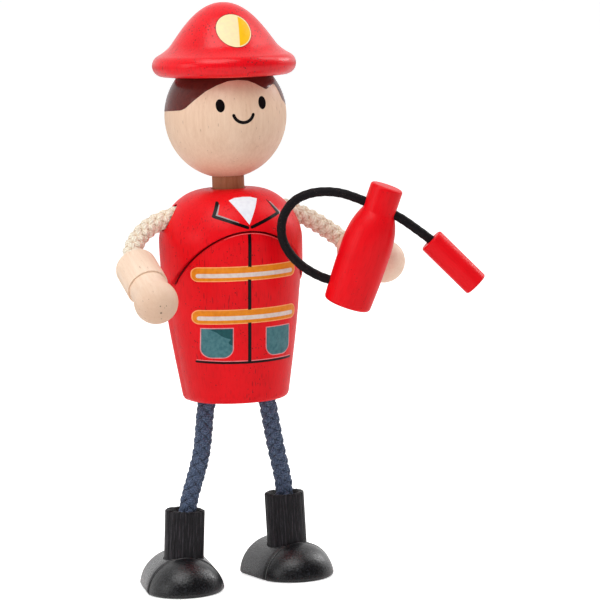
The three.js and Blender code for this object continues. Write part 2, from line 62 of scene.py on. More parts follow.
# Torso
HIP_HEIGHT = 47.7
TORSO_HEIGHT = 52.4
TORSO_RADIUS = 17.8
CHEST_HEIGHT = 39.5
TORSO_FOOT_RADIUS = 13.55
TORSO_FOOT_ROUND = 1.6
TORSO_FOOT_SWELL = 0.24
TORSO_TOP_RADIUS = 5.5
TORSO_FLARE = (2.5, 15)
CHEST_PULL = 12.5
SHOULDER_PULL = (8, 5)
PANEL_RECESS = 0.6
PANEL_RADIUS = 17.5
PANEL_MIDDLE = 25.5
PANEL_EDGE = 0.16  # width of the step round the front panel
PANEL_GROOVE = (0.22, 0.36, 0.15)  # place, depth and half width of the groove inside that step
PANEL_LIP = (0.62, 0.1, 0.17)  # and of the low lip below the groove
PANEL_BLEND = 1  # height above and below the arch's ends over which groove and lip begin
PANEL_FADE = (86, 100)  # degrees from the front over which the panel runs out at the sides

# Neck, head and hat
NECK_RADIUS = 4
NECK_EDGE = 0.3
NECK_SHOWS = 2.5
NECK_IN_TORSO = 12
NECK_IN_HEAD = 11
HEAD_RADIUS = 15.1
HEAD_HEIGHT = 31
HAT_SEAT = 9.85
HAT_HEIGHT = 18.05
HAT_TILT = 0.7
BRIM_RADIUS = 17.8
BRIM_THICKNESS = 5.5
CROWN_FOOT_RADIUS = 13.9
CROWN_FOOT_RISE = 1  # of the crown's foot above the brim
BRIM_END = 62  # degrees of the brim's round edge at which the hollow to the crown begins
CROWN_FILLET = 2.3
CROWN_PULL = (6, 5.8)
CROWN_LEAN = 0.69
HOLLOW_PULLS = (1.1, 1.6)  # of the curve between brim and crown, at its two ends

# Arms and hands
ARM_RADIUS = 2.5
ARM_ROOT_DEPTH = 7
SHOULDER_DROP = 6.7
HAND_LENGTH = 21
CUFF_LENGTH = 9.8
CUFF_RADIUS = 5.15
CUFF_TOP_RADIUS = 3.7
CUFF_ROUND = 1.9
BALL_RADIUS = 5.35
WAIST_RADIUS = 4.8
HAND_CORD_DEPTH = 6

# Legs and boots
LEG_RADIUS = 2.35
LEG_ROOT_DEPTH = 8
LEG_SPREAD = 7.6
LEG_IN_BOOT = 9
SHAFT_RADIUS = 5
MOUTH_RADIUS = 3.8
MOUTH_DEPTH = 3
SHAFT_SEAT = 4.2
FOOT_HALF_WIDTH = 9.7
FOOT_HEIGHT = 9
FOOT_REAR = 8.7
FOOT_CREASE = 4.4
TOE_DEPTH = 8.9

# Extinguisher, hose and nozzle
BOTTLE_LENGTH = 30.9
BOTTLE_RADIUS = 6.2
BOTTLE_FOOT_RADIUS = 5.85
BOTTLE_FOOT_ROUND = 1.2
BOTTLE_SHOULDER = 14.5
BOTTLE_NECK = 24.3
BOTTLE_NECK_RADIUS = 4.05
BOTTLE_TOP_ROUND = 0.8
BOTTLE_PULL = (5.5, 1.7)
BOTTLE_FLARE = 0.85
BOTTLE_LEAN = 18.8
BOTTLE_NOD = 9.6
GRIP_HEIGHT = 11.5
GRIP_TURN = 44.4
HOSE_RADIUS = 1.15
HOSE_TURN = 17  # degrees of the hose's plane round the bottle
HOSE_EXIT = 4.6
HOSE_NECK = 25.2
HOSE_NECK_DIP = 6
HOSE_IN_BOTTLE = 3
HOSE_IN_NOZZLE = 4
NOZZLE_RADIUS = 3.15
NOZZLE_LENGTH = 15.6
NOZZLE_EDGE = 0.3
NOZZLE_DIP = 26

# The hose's route in metres in its plane, across the bottle and along it
HOSE_LOOP = [
    (-0.0078, 0.0046), (-0.0108, 0.0050), (-0.01415, 0.0060), (-0.0175, 0.0079),
    (-0.0201, 0.0107), (-0.02135, 0.01405), (-0.0213, 0.0172), (-0.0201, 0.0203),
    (-0.0175, 0.0229), (-0.0140, 0.0247), (-0.0101, 0.02565), (-0.0066, 0.02575),
]
HOSE_END = [(0.0064, 0.0243), (0.0096, 0.02335)]
NOZZLE_MOUTH = (0.01425, 0.0218)

SIDES = {
    "right": {
        "sign": -1, "hand_top": (-27.1, -9, 83.8), "hand_pitch": 31.3, "hand_turn": 7.6,
        "arm_tilt": 15, "arm_ease": (6.5, 5), "boot": (-15.5, 2), "boot_turn": -6,
        "shaft_top": 20.15, "shaft_lean": 3.9, "cord_offset": 1.1, "knee": (-0.75, 0.1, 0),
    },
    "left": {
        "sign": 1, "hand_top": (31.1, -2, 83.6), "hand_pitch": 9.2, "hand_turn": 11.1,
        "arm_tilt": 22, "arm_ease": (7, 5), "boot": (13.95, 7.7), "boot_turn": 12,
        "shaft_top": 21.3, "shaft_lean": 1.2, "cord_offset": 0, "knee": (0.1, 0.3, 0),
    },
}

TORSO_TOP = HIP_HEIGHT + TORSO_HEIGHT
HEAD_MIDDLE = TORSO_TOP + NECK_SHOWS + HEAD_HEIGHT / 2
HEAD_STRETCH = HEAD_HEIGHT / (2 * HEAD_RADIUS)
UP = Vector((0, 0, 1))

# Steps of the round surfaces
FINE_SIDES = 160
SMALL_SIDES = 96
SMOOTH_ANGLE = 32


def place(x, y, z):
    """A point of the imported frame, in metres, from millimetres about the doll's axis"""
    return AXIS + Vector((x, y, z)) * MM


def stand(point, turn=None):
    """The frame of a piece whose own origin is at a point, turned by a 3x3 matrix"""
    matrix = Matrix.Translation(place(*point))
    return matrix @ turn.to_4x4() if turn is not None else matrix


def facing(direction):
    """The turn that lays a piece's own +Z along a direction"""
    return UP.rotation_difference(Vector(direction)).to_matrix()


DOLL_STAND = stand((0, 0, 0))

# Camera: 0.8 m from the doll's axis, a little to its right and above its head
CAMERA_DISTANCE = 800
CAMERA_AZIMUTH = -15.5
CAMERA_HEIGHT = 166.1
CAMERA_YAW = 1.193
CAMERA_PITCH = 6.75
CAMERA_ROLL = 2.2
CAMERA_LENS = 194.2
CAMERA_SENSOR = 36


def add_camera():
    azimuth = math.radians(CAMERA_AZIMUTH)
    turn = Matrix.Rotation(azimuth - math.radians(CAMERA_YAW), 3, "Z")
    turn @= Matrix.Rotation(math.radians(90 - CAMERA_PITCH), 3, "X")
    turn @= Matrix.Rotation(-math.radians(CAMERA_ROLL), 3, "Z")
    data = bpy.data.cameras.new("camera")
    data.lens = CAMERA_LENS
    data.sensor_width = CAMERA_SENSOR
    camera = bpy.data.objects.new("camera", data)
    bpy.context.scene.collection.objects.link(camera)
    x = CAMERA_DISTANCE * math.sin(azimuth)
    y = -CAMERA_DISTANCE * math.cos(azimuth)
    camera.matrix_world = stand((x, y, CAMERA_HEIGHT), turn)
    bpy.context.scene.camera = camera


add_camera()


# Curves
def bezier(points, steps):
    """Points along a quadratic or cubic curve, its first point left out"""
    result = []
    degree = len(points) - 1
    for step in range(1, steps + 1):
        t = step / steps
        shares = [math.comb(degree, k) * t**k * (1 - t) ** (degree - k) for k in range(degree + 1)]
        result.append(tuple(sum(s * p[axis] for s, p in zip(shares, points)) for axis in (0, 1)))
    return result


def outlined(start, *parts):
    """An outline of points and of curves; a curve is its number of steps, its pulls and its last point"""
    outline = [start]
    for part in parts:
        if isinstance(part[1], tuple):
            steps, *pulls = part
            outline += bezier([outline[-1], *pulls], steps)
        else:
            outline.append(part)
    return outline


def arc(middle, radius, first, last, steps, stretch=1):
    """Points of an arc from one angle to another in degrees, both included"""
    angles = np.radians(np.linspace(first, last, steps + 1))
    return [(middle[0] + radius * math.cos(a), middle[1] + stretch * radius * math.sin(a)) for a in angles]


def centripetal(points, samples=24):
    """Points on the centripetal Catmull-Rom curve through the given points"""
    p = [np.array(q, float) for q in points]
    p = [2 * p[0] - p[1]] + p + [2 * p[-1] - p[-2]]
    result = []
    for i in range(1, len(p) - 2):
        before, here, after, beyond = p[i - 1 : i + 3]
        d0 = math.sqrt(np.linalg.norm(here - before))
        d1 = math.sqrt(np.linalg.norm(after - here))
        d2 = math.sqrt(np.linalg.norm(beyond - after))
        leave = ((here - before) / d0 - (after - before) / (d0 + d1) + (after - here) / d1) * d1
        arrive = ((after - here) / d1 - (beyond - here) / (d1 + d2) + (beyond - after) / d2) * d1
        for step in range(samples):
            t = step / samples
            result.append(
                here * (2 * t**3 - 3 * t**2 + 1)
                + leave * (t**3 - 2 * t**2 + t)
                + after * (3 * t**2 - 2 * t**3)
                + arrive * (t**3 - t**2)
            )
    result.append(p[-2])
    return np.array(result)


def even_steps(path, spacing):
    """The same path with points at equal distances, and those distances from its start"""
    lengths = np.concatenate([[0], np.cumsum(np.linalg.norm(np.diff(path, axis=0), axis=1))])
    along = np.linspace(0, lengths[-1], max(2, round(lengths[-1] / spacing)) + 1)
    return np.stack([np.interp(along, lengths, path[:, k]) for k in range(3)], axis=1), along


def unit_rows(vectors):
    return vectors / np.linalg.norm(vectors, axis=1)[:, None]


def round_angles(sides):
    return np.arange(sides) * 2 * math.pi / sides


def carried_frames(path):
    """Tangents of a path and two normals that turn with it as little as they can"""
    tangents = unit_rows(np.gradient(path, axis=0))
    normal = np.cross(tangents[0], (0.0, 1.0, 0.0))
    normals = []
    for tangent in tangents:
        normal = normal - tangent * (normal @ tangent)
        normal = normal / np.linalg.norm(normal)
        normals.append(normal)
    normals = np.array(normals)
    return tangents, normals, np.cross(tangents, normals)


# Meshes
def link_object(name, mesh, material, at):
    obj = bpy.data.objects.new(name, mesh)
    bpy.context.scene.collection.objects.link(obj)
    obj.matrix_world = at
    mesh.materials.append(material)
    return obj


def shade(mesh):
    mesh.shade_smooth()
    mesh.set_sharp_from_angle(angle=math.radians(SMOOTH_ANGLE))


def add_mesh(name, vertices, faces, material, at=Matrix.Identity(4)):
    """A closed mesh given in millimetres of its own frame, with its faces turned outward"""
    mesh = bpy.data.meshes.new(name)
    mesh.from_pydata([tuple(MM * float(c) for c in v) for v in vertices], [], faces)
    bm = bmesh.new()
    bm.from_mesh(mesh)
    bmesh.ops.recalc_face_normals(bm, faces=bm.faces[:])
    bm.to_mesh(mesh)
    bm.free()
    shade(mesh)
    return link_object(name, mesh, material, at)


def ring_faces(first, sides, rings):
    """The faces between rings of points that follow each other in a list of vertices"""
    faces = []
    for low in range(first, first + (rings - 1) * sides, sides):
        for k in range(sides):
            after = (k + 1) % sides
            faces.append((low + k, low + after, low + sides + after, low + sides + k))
    return faces


def turned(outline, sides=FINE_SIDES, reshape=None):
    """Vertices and faces of a piece turned about Z, from an outline of radius and height that starts
    and ends on the axis. reshape can move each ring's points."""
    angles = round_angles(sides)
    vertices = [(0, 0, outline[0][1])]
    for radius, height in outline[1:-1]:
        ring = np.stack([radius * np.cos(angles), radius * np.sin(angles), np.full(sides, height)], axis=1)
        vertices.extend(map(tuple, reshape(ring) if reshape else ring))
    vertices.append((0, 0, outline[-1][1]))
    tip = len(vertices) - 1
    last = tip - sides
    faces = ring_faces(1, sides, len(outline) - 2)
    for k in range(sides):
        after = (k + 1) % sides
        faces += [(0, 1 + after, 1 + k), (tip, last + k, last + after)]
    return vertices, faces


def rod(start, end, radius, sides=SMALL_SIDES):
    """Vertices and faces of a plain cylinder between two points"""
    start, end = Vector(start), Vector(end)
    turn = facing(end - start)
    spokes = [turn @ Vector((radius * math.cos(a), radius * math.sin(a), 0)) for a in round_angles(sides)]
    vertices = [middle + spoke for middle in (start, end) for spoke in spokes]
    ends = [tuple(range(sides)), tuple(range(sides, 2 * sides))]
    return vertices, ends + ring_faces(0, sides, 2)


def cut(obj, tools):
    """Takes solids, given in the piece's own frame, out of a piece"""
    vertices, faces = [], []
    for tool_vertices, tool_faces in tools:
        faces += [tuple(len(vertices) + i for i in face) for face in tool_faces]
        vertices += list(tool_vertices)
    tool = add_mesh(obj.name + "_tool", vertices, faces, obj.data.materials[0], obj.matrix_world)
    modifier = obj.modifiers.new("cut", "BOOLEAN")
    modifier.solver = "EXACT"
    modifier.object = tool
    graph = bpy.context.evaluated_depsgraph_get()
    result = bpy.data.meshes.new_from_object(obj.evaluated_get(graph))
    obj.modifiers.clear()
    obj.data = result
    shade(result)
    bpy.data.objects.remove(tool)


def finish_piece(obj, body, node):
    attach(obj, body)
    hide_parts(node)
    return obj


# Materials
def linear(red, green, blue):
    """A colour given as it looks on screen, 0 to 255, as the shader's own values"""
    channels = []
    for value in (red, green, blue):
        share = value / 255
        channels.append(share / 12.92 if share <= 0.04045 else ((share + 0.055) / 1.055) ** 2.4)
    return (*channels, 1)


class Nodes:
    """A tree of shader nodes, with short ways to add to it"""

    def __init__(self, tree):
        self.tree = tree

    def add(self, kind, inputs=None, **settings):
        node = self.tree.nodes.new(kind)
        for key, value in settings.items():
            setattr(node, key, value)
        for socket, value in (inputs or {}).items():
            if isinstance(value, bpy.types.NodeSocket):
                self.tree.links.new(value, node.inputs[socket])
            else:
                node.inputs[socket].default_value = value
        return node

    def span(self, value, low, high, to_low=0, to_high=1, shape="LINEAR"):
        """A value mapped from one range to another and held inside it"""
        inputs = {"Value": value, "From Min": low, "From Max": high, "To Min": to_low, "To Max": to_high}
        node = self.add("ShaderNodeMapRange", inputs, interpolation_type=shape, clamp=True)
        return node.outputs["Result"]

    def times(self, a, b):
        return self.add("ShaderNodeMath", {0: a, 1: b}, operation="MULTIPLY").outputs[0]

    def plus(self, a, b):
        return self.add("ShaderNodeMath", {0: a, 1: b}, operation="ADD").outputs[0]

    def larger(self, a, b):
        return self.add("ShaderNodeMath", {0: a, 1: b}, operation="MAXIMUM").outputs[0]

    def mix(self, share, a, b):
        inputs = {0: share, 6: a, 7: b}
        return self.add("ShaderNodeMix", inputs, data_type="RGBA").outputs[2]


class Finish(Nodes):
    """A material built from one principled shader and the nodes that feed it"""

    def __init__(self, name, **values):
        self.material = bpy.data.materials.new(name)
        self.material.use_nodes = True
        super().__init__(self.material.node_tree)
        self.shader = self.tree.nodes["Principled BSDF"]
        for socket, value in values.items():
            socket = socket.replace("_", " ").title().replace("Ior", "IOR")
            self.shader.inputs[socket].default_value = value

    def place(self, stretch=(1, 1, 1)):
        """The piece's own coordinates in millimetres, each axis times a stretch"""
        own = self.add("ShaderNodeTexCoord").outputs["Object"]
        scale = tuple(s / MM for s in stretch)
        return self.add("ShaderNodeMapping", {"Vector": own, "Scale": scale}).outputs[0]

    def along(self, axis):
        """The place along one of the piece's own axes, in millimetres"""
        return self.add("ShaderNodeSeparateXYZ", {0: self.place()}).outputs[axis]

    def noise(self, vector, scale, detail=3, roughness=0.5):
        inputs = {"Vector": vector, "Scale": scale, "Detail": detail, "Roughness": roughness}
        return self.add("ShaderNodeTexNoise", inputs).outputs["Fac"]

    def specks(self, vector, scale, size, softness=0.05):
        """1 inside small round specks, 0 outside"""
        cells = self.add("ShaderNodeTexVoronoi", {"Vector": vector, "Scale": scale})
        return self.span(cells.outputs["Distance"], size + softness, size)

    def colour(self, socket):
        self.tree.links.new(socket, self.shader.inputs["Base Color"])

    def roughness(self, socket):
        self.tree.links.new(socket, self.shader.inputs["Roughness"])

    def bump(self, height, depth):
        """Raises the surface by a height of 0 to 1 times a depth in millimetres"""
        node = self.add("ShaderNodeBump", {"Height": height, "Distance": depth * MM, "Strength": 1})
        for socket in ("Normal", "Coat Normal"):
            self.tree.links.new(node.outputs[0], self.shader.inputs[socket])


PAINT_MIRROR = 0.06  # specular level of the dull paints, whose shine comes from their thin clear coat


def painted_wood(name, colour, dark, roughness, coat, pores, wear):
    """Paint over turned wood: upright grain, cloudy colour, open pores in patches, short dark dashes"""
    finish = Finish(name, specular_ior_level=PAINT_MIRROR, coat_weight=coat[0], coat_roughness=coat[1])
    round_place = finish.place()
    grain = finish.noise(finish.place((1, 1, 0.09)), 2.6, 4, 0.6)
    cloud = finish.noise(round_place, 0.16, 2)
    patches = finish.span(finish.noise(round_place, 0.22, 2), 0.48, 0.6)
    pits = finish.times(finish.specks(finish.place((1, 1, 0.7)), 1.35, pores), patches)
    worn = finish.span(finish.noise(finish.place((1, 1, 0.5)), 0.25, 2), 0.45, 0.6)
    dashes = finish.times(finish.specks(finish.place((1.5, 1.5, 0.24)), 1, 0.16, 0.12), worn)
    shade_share = finish.plus(finish.span(grain, 0.48, 0.72, 0, 0.4), finish.span(cloud, 0.4, 0.7, 0, 0.2))
    tone = finish.mix(shade_share, linear(*colour), linear(*dark))
    tone = finish.mix(finish.times(dashes, wear), tone, linear(128, 8, 18))
    finish.colour(finish.mix(pits, tone, linear(62, 6, 10)))
    finish.roughness(finish.span(grain, 0.3, 0.7, roughness - 0.05, roughness + 0.07))
    marks = finish.plus(pits, finish.times(dashes, wear))
    peel = finish.noise(round_place, 4, 2)
    waves = finish.plus(finish.times(grain, 0.4), finish.times(peel, 0.7))
    relief = finish.plus(waves, finish.times(marks, -1.0))
    finish.bump(relief, 0.06)
    return finish.material


def natural_wood(name, light, dark, roughness=0.42, knots=(), end_tone=0):
    """Bare pale wood with its grain along Z: long streaks, short dark pores, cloudy tone, dark marks at
    given places with given radii, and a share darker towards the far end"""
    finish = Finish(name, specular_ior_level=0.3)
    streaks = finish.noise(finish.place((1, 1, 0.06)), 1.5, 5, 0.6)
    fine = finish.noise(finish.place((1, 1, 0.12)), 7, 2, 0.5)
    cloud = finish.noise(finish.place((1, 1, 0.5)), 0.13, 2)
    cells = finish.specks(finish.place((1, 1, 0.16)), 1.5, 0.09, 0.06)
    patches = finish.span(finish.noise(finish.place((1, 1, 0.6)), 0.3, 2), 0.45, 0.6)
    pores = finish.times(cells, patches)
    share = finish.plus(finish.span(streaks, 0.35, 0.75, 0, 0.55), finish.span(cloud, 0.35, 0.7, 0, 0.35))
    tone = finish.mix(share, linear(*light), linear(*dark))
    tone = finish.mix(finish.span(fine, 0.5, 0.8, 0, 0.22), tone, linear(210, 162, 130))
    if end_tone:
        at_end = finish.span(finish.along("Z"), -HAND_LENGTH, -CUFF_LENGTH, end_tone, 0)
        tone = finish.mix(at_end, tone, linear(204, 160, 130))
    tone = finish.mix(finish.times(pores, 0.6), tone, linear(140, 92, 68))
    for middle, radius in knots:
        inputs = {0: finish.place(), 1: middle}
        away = finish.add("ShaderNodeVectorMath", inputs, operation="DISTANCE").outputs["Value"]
        tone = finish.mix(finish.span(away, radius * 0.4, radius * 1.4, 0.85, 0), tone, linear(78, 46, 32))
    finish.colour(tone)
    finish.roughness(finish.span(streaks, 0.3, 0.7, roughness - 0.06, roughness + 0.08))
    finish.bump(finish.plus(finish.times(fine, 0.4), finish.times(pores, -1.0)), 0.03)
    return finish.material


def black_wood(name, roughness):
    """Black stained dowel, with grooves and lighter ridges of grain along Z"""
    finish = Finish(name, specular_ior_level=0.15, coat_weight=0.12, coat_roughness=0.2)
    grain = finish.noise(finish.place((1, 1, 0.05)), 3.4, 5, 0.7)
    fine = finish.noise(finish.place((1, 1, 0.16)), 9, 2, 0.5)
    tone = finish.mix(finish.span(grain, 0.52, 0.68, 0, 0.7), linear(20, 18, 22), linear(86, 81, 88))
    finish.colour(finish.mix(finish.span(fine, 0.55, 0.75, 0, 0.35), tone, linear(14, 12, 15)))
    finish.roughness(finish.span(grain, 0.3, 0.7, roughness - 0.07, roughness + 0.1))
    finish.bump(finish.plus(grain, finish.times(fine, 0.6)), 0.13)
    return finish.material


def shoe_wood(name):
    """Black stained shoe: end grain on the rear block, speckled lacquer on the toe, and painted shade in the
    crease between them
    """
    finish = Finish(name, specular_ior_level=0.08, coat_weight=0.9, coat_roughness=0.22)
    backward = finish.along("Y")
    block = finish.span(backward, -FOOT_CREASE - 0.2, -FOOT_CREASE + 0.2)
    ridges = finish.noise(finish.place((1, 0.12, 1)), 4.2, 4, 0.7)
    speckle = finish.noise(finish.place(), 1.9, 5, 0.66)
    side_tone = finish.mix(finish.span(ridges, 0.42, 0.66), linear(12, 11, 14), linear(50, 49, 54))
    toe_tone = finish.mix(finish.span(speckle, 0.5, 0.74), linear(10, 9, 12), linear(42, 44, 50))
    # Painted shade: near black in the crease between block and toe
    from_toe = finish.span(backward, -FOOT_CREASE - 0.7, -FOOT_CREASE - 0.1)
    to_block = finish.span(backward, -FOOT_CREASE + 0.1, -FOOT_CREASE + 0.5, 1, 0)
    in_crease = finish.times(from_toe, to_block)
    finish.colour(finish.mix(in_crease, finish.mix(block, toe_tone, side_tone), linear(8, 8, 9)))
    finish.roughness(finish.plus(finish.span(speckle, 0.3, 0.7, 0.3, 0.44), finish.times(block, 0.16)))
    block_grain = finish.times(finish.times(ridges, block), 0.8)
    finish.bump(finish.plus(speckle, block_grain), 0.1)
    return finish.material


def cord_fibre(name, light, dark, crevice_shade):
    """Spun yarn: fine threads that wind along each strand, with painted shade between the threads and where
    strands lie deep between the others
    """
    finish = Finish(name, specular_ior_level=0.2, sheen_weight=0.2, sheen_roughness=0.5, roughness=0.85)
    spots = finish.add("ShaderNodeUVMap")
    threads = finish.add(
        "ShaderNodeTexWave",
        {"Vector": spots.outputs[0], "Scale": 3, "Distortion": 1.6, "Detail": 2, "Detail Scale": 3},
        wave_type="BANDS",
        bands_direction="DIAGONAL",
    ).outputs["Fac"]
    fuzz = finish.noise(finish.place(), 3.4, 3, 0.6)
    depth = finish.add("ShaderNodeAttribute", attribute_name="depth").outputs["Fac"]
    tone = finish.mix(finish.span(fuzz, 0.38, 0.66), linear(*light), linear(*dark))
    tone = finish.mix(finish.span(threads, 0.1, 0.55, 0.3, 0), tone, linear(*crevice_shade))
    finish.colour(finish.mix(finish.span(depth, 0.62, 0.9, 0.9, 0), tone, linear(*crevice_shade)))
    finish.bump(finish.plus(threads, finish.times(fuzz, 0.6)), 0.1)
    return finish.material


def elastic_cord(name):
    finish = Finish(name, specular_ior_level=0.1, sheen_weight=0.02)
    fuzz = finish.noise(finish.place(), 5, 3, 0.6)
    flecks = finish.specks(finish.place(), 1.6, 0.1)
    tone = finish.mix(finish.span(fuzz, 0.35, 0.7), linear(8, 7, 9), linear(34, 29, 32))
    finish.colour(finish.mix(finish.times(flecks, 0.5), tone, linear(112, 84, 74)))
    finish.roughness(finish.span(fuzz, 0.3, 0.7, 0.45, 0.7))
    finish.bump(fuzz, 0.05)
    return finish.material


def flat_paint(name, colour, other, roughness=0.3, coat=0.12):
    """A printed or brushed colour, with a faint unevenness"""
    finish = Finish(name, specular_ior_level=PAINT_MIRROR, coat_weight=coat, coat_roughness=0.12)
    cloud = finish.noise(finish.place(), 1.1, 3)
    finish.colour(finish.mix(finish.span(cloud, 0.35, 0.7), linear(*colour), linear(*other)))
    finish.roughness(finish.span(cloud, 0.3, 0.7, roughness - 0.05, roughness + 0.08))
    return finish.material


def drawn_wire(name):
    finish = Finish(name, metallic=1)
    lines = finish.noise(finish.place((6, 6, 0.3)), 1, 2)
    finish.colour(finish.mix(lines, linear(150, 152, 154), linear(190, 191, 192)))
    finish.roughness(finish.span(lines, 0.3, 0.7, 0.3, 0.42))
    return finish.material


RED_GLOSS = painted_wood("hat_paint", (240, 8, 26), (180, 4, 14), 0.34, (0.5, 0.15), 0.16, 0.25)
RED_SATIN = painted_wood("body_paint", (232, 8, 22), (196, 4, 14), 0.42, (0.18, 0.22), 0.12, 0.5)
RED_SMOOTH = painted_wood("bottle_paint", (232, 8, 22), (204, 4, 14), 0.4, (0.2, 0.24), 0.06, 0.12)
HEAD_WOOD = natural_wood("head_wood", (238, 206, 180), (220, 180, 150))

# Hands: small dark knots on the right one's end, each with its place and radius in the hand's own frame
HAND_KNOTS = [
    ((-0.71, -2.42, -20.37), 0.16), ((-0.66, -0.77, -20.90), 0.25), ((-0.48, 1.05, -20.87), 0.14),
    ((0.82, -2.23, -20.45), 0.12), ((0.3, -1.9, -20.6), 0.1),
]
HAND_LIGHT, HAND_DARK = (250, 226, 204), (234, 200, 172)
HAND_WOODS = {
    "right": natural_wood("right_hand_wood", HAND_LIGHT, HAND_DARK, 0.5, HAND_KNOTS, 0.6),
    "left": natural_wood("left_hand_wood", HAND_LIGHT, HAND_DARK, 0.5),
}

NECK_WOOD = natural_wood("neck_wood", (182, 120, 82), (146, 88, 56), 0.55)
SHAFT_WOOD = black_wood("shaft_wood", 0.48)
FOOT_WOOD = shoe_wood("foot_wood")
# The last colour of each cord is painted shade for the hollows between its strands and threads
CREAM_CORD = cord_fibre("cream_cord", (254, 248, 232), (242, 230, 208), (202, 156, 112))
NAVY_CORD = cord_fibre("navy_cord", (98, 114, 142), (42, 52, 76), (14, 16, 28))
BLACK_CORD = elastic_cord("black_cord")
WIRE_METAL = drawn_wire("wire_metal")
HAIR_PAINT = flat_paint("hair_paint", (100, 40, 34), (84, 32, 28), 0.3, 0.35)

# Prints: two shades of each colour, and its roughness
PRINT_LOOKS = {
    "black": ((20, 12, 14), (12, 8, 9), 0.3),
    # painted reflection: the shine on the glossy black lapel strokes, drawn in grey
    "glare": ((172, 160, 158), (150, 136, 136), 0.4),
    "white": ((234, 236, 242), (224, 226, 234), 0.4),
    "orange": ((234, 142, 34), (222, 124, 26), 0.4),
    "peach": ((252, 178, 114), (246, 162, 100), 0.4),
    "tape": ((226, 212, 206), (212, 194, 184), 0.4),
    "pink": ((232, 154, 156), (216, 130, 136), 0.4),
    "teal": ((78, 124, 130), (58, 104, 112), 0.35),
    "dark_teal": ((34, 84, 88), (28, 74, 80), 0.35),
    "cream": ((254, 230, 178), (252, 222, 176), 0.3),
    "yellow": ((250, 192, 28), (244, 182, 24), 0.3),
    # painted shadow round the badge's edge
    "rim": ((150, 34, 34), (130, 28, 30), 0.3),
    # painted shade for the groove along the arch
    "crease": ((104, 6, 12), (84, 4, 10), 0.4),
    # painted highlight for the lip below the arch's groove
    "light": ((252, 118, 118), (246, 96, 100), 0.3),
}
PRINT = {name: flat_paint(f"{name}_print", *look) for name, look in PRINT_LOOKS.items()}


# Hose and bottle
def bottle_turn():
    lean = Matrix.Rotation(math.radians(BOTTLE_LEAN), 3, "Y")
    return lean @ Matrix.Rotation(math.radians(BOTTLE_NOD), 3, "X")


def hand_direction(side):
    pitch, turn = math.radians(side["hand_pitch"]), math.radians(side["hand_turn"])
    return Vector((math.cos(pitch) * math.sin(turn), -math.cos(pitch) * math.cos(turn), -math.sin(pitch)))


def bottle_stand():
    """The bottle's own frame: its foot's middle, its front and its axis"""
    turn = bottle_turn()
    angle = math.radians(GRIP_TURN)
    out = turn @ Vector((-math.sin(angle), -math.cos(angle), 0))
    side = SIDES["left"]
    ball = Vector(side["hand_top"]) + hand_direction(side) * (HAND_LENGTH - BALL_RADIUS)
    foot = ball + out * (BALL_RADIUS + GAP + BOTTLE_RADIUS) - turn @ UP * GRIP_HEIGHT
    return stand(foot, turn)


def hose_stand():
    """The frame of the hose's plane: the bottle's own, turned about its axis"""
    return bottle_stand() @ Matrix.Rotation(-math.radians(HOSE_TURN), 4, "Z")


def neck_bore(across):
    return (across, HOSE_NECK - across * math.tan(math.radians(HOSE_NECK_DIP)))


def hose_route():
    """The hose's middle line in its plane's frame, in millimetres"""
    dip = math.radians(NOZZLE_DIP)
    mouth = Vector(NOZZLE_MOUTH) / MM
    inside = mouth + Vector((math.cos(dip), -math.sin(dip))) * HOSE_IN_NOZZLE
    flat = [(-BOTTLE_RADIUS + HOSE_IN_BOTTLE, HOSE_EXIT), (-BOTTLE_RADIUS, HOSE_EXIT)]
    flat += [(x / MM, z / MM) for x, z in HOSE_LOOP]
    flat += [neck_bore(-BOTTLE_NECK_RADIUS), neck_bore(0), neck_bore(BOTTLE_NECK_RADIUS)]
    flat += [(x / MM, z / MM) for x, z in HOSE_END]
    flat += [tuple(mouth), tuple(inside)]
    return centripetal([(x, 0, z) for x, z in flat])


HOSE_SIDES = 56
HOSE_STEP = 0.12
HOSE_PLAIT = 4.2  # length of one turn of the cover's threads
HOSE_THREADS = 7
HOSE_RELIEF = 0.05
BORE_REACH = 2  # how far the solid that is cut out of a piece stands out of it


def tube(path, along, radius_at, sides):
    """Vertices and faces of a round tube along a path; radius_at takes angles and the distance along"""
    _, normals, others = carried_frames(path)
    angles = round_angles(sides)
    vertices = []
    for point, normal, other, distance in zip(path, normals, others, along):
        radius = radius_at(angles, distance)[:, None]
        ring = point + radius * (np.cos(angles)[:, None] * normal + np.sin(angles)[:, None] * other)
        vertices.extend(map(tuple, ring))
    ends = [tuple(range(sides)), tuple(range(len(vertices) - sides, len(vertices)))]
    return vertices, ends + ring_faces(0, sides, len(path))


def add_hose():
    path, along = even_steps(hose_route(), HOSE_STEP)

    def cover(angles, distance):
        turn = 2 * math.pi * distance / HOSE_PLAIT
        wave = np.sin(HOSE_THREADS * angles + turn) * np.sin(HOSE_THREADS * angles - turn)
        return HOSE_RADIUS - HOSE_RELIEF + HOSE_RELIEF * wave

    hose = add_mesh("hose", *tube(path, along, cover, HOSE_SIDES), BLACK_CORD, hose_at)
    return hose, [hose_at @ Vector(point * MM) for point in path]


hose_at = hose_stand()
hose, hose_path = add_hose()


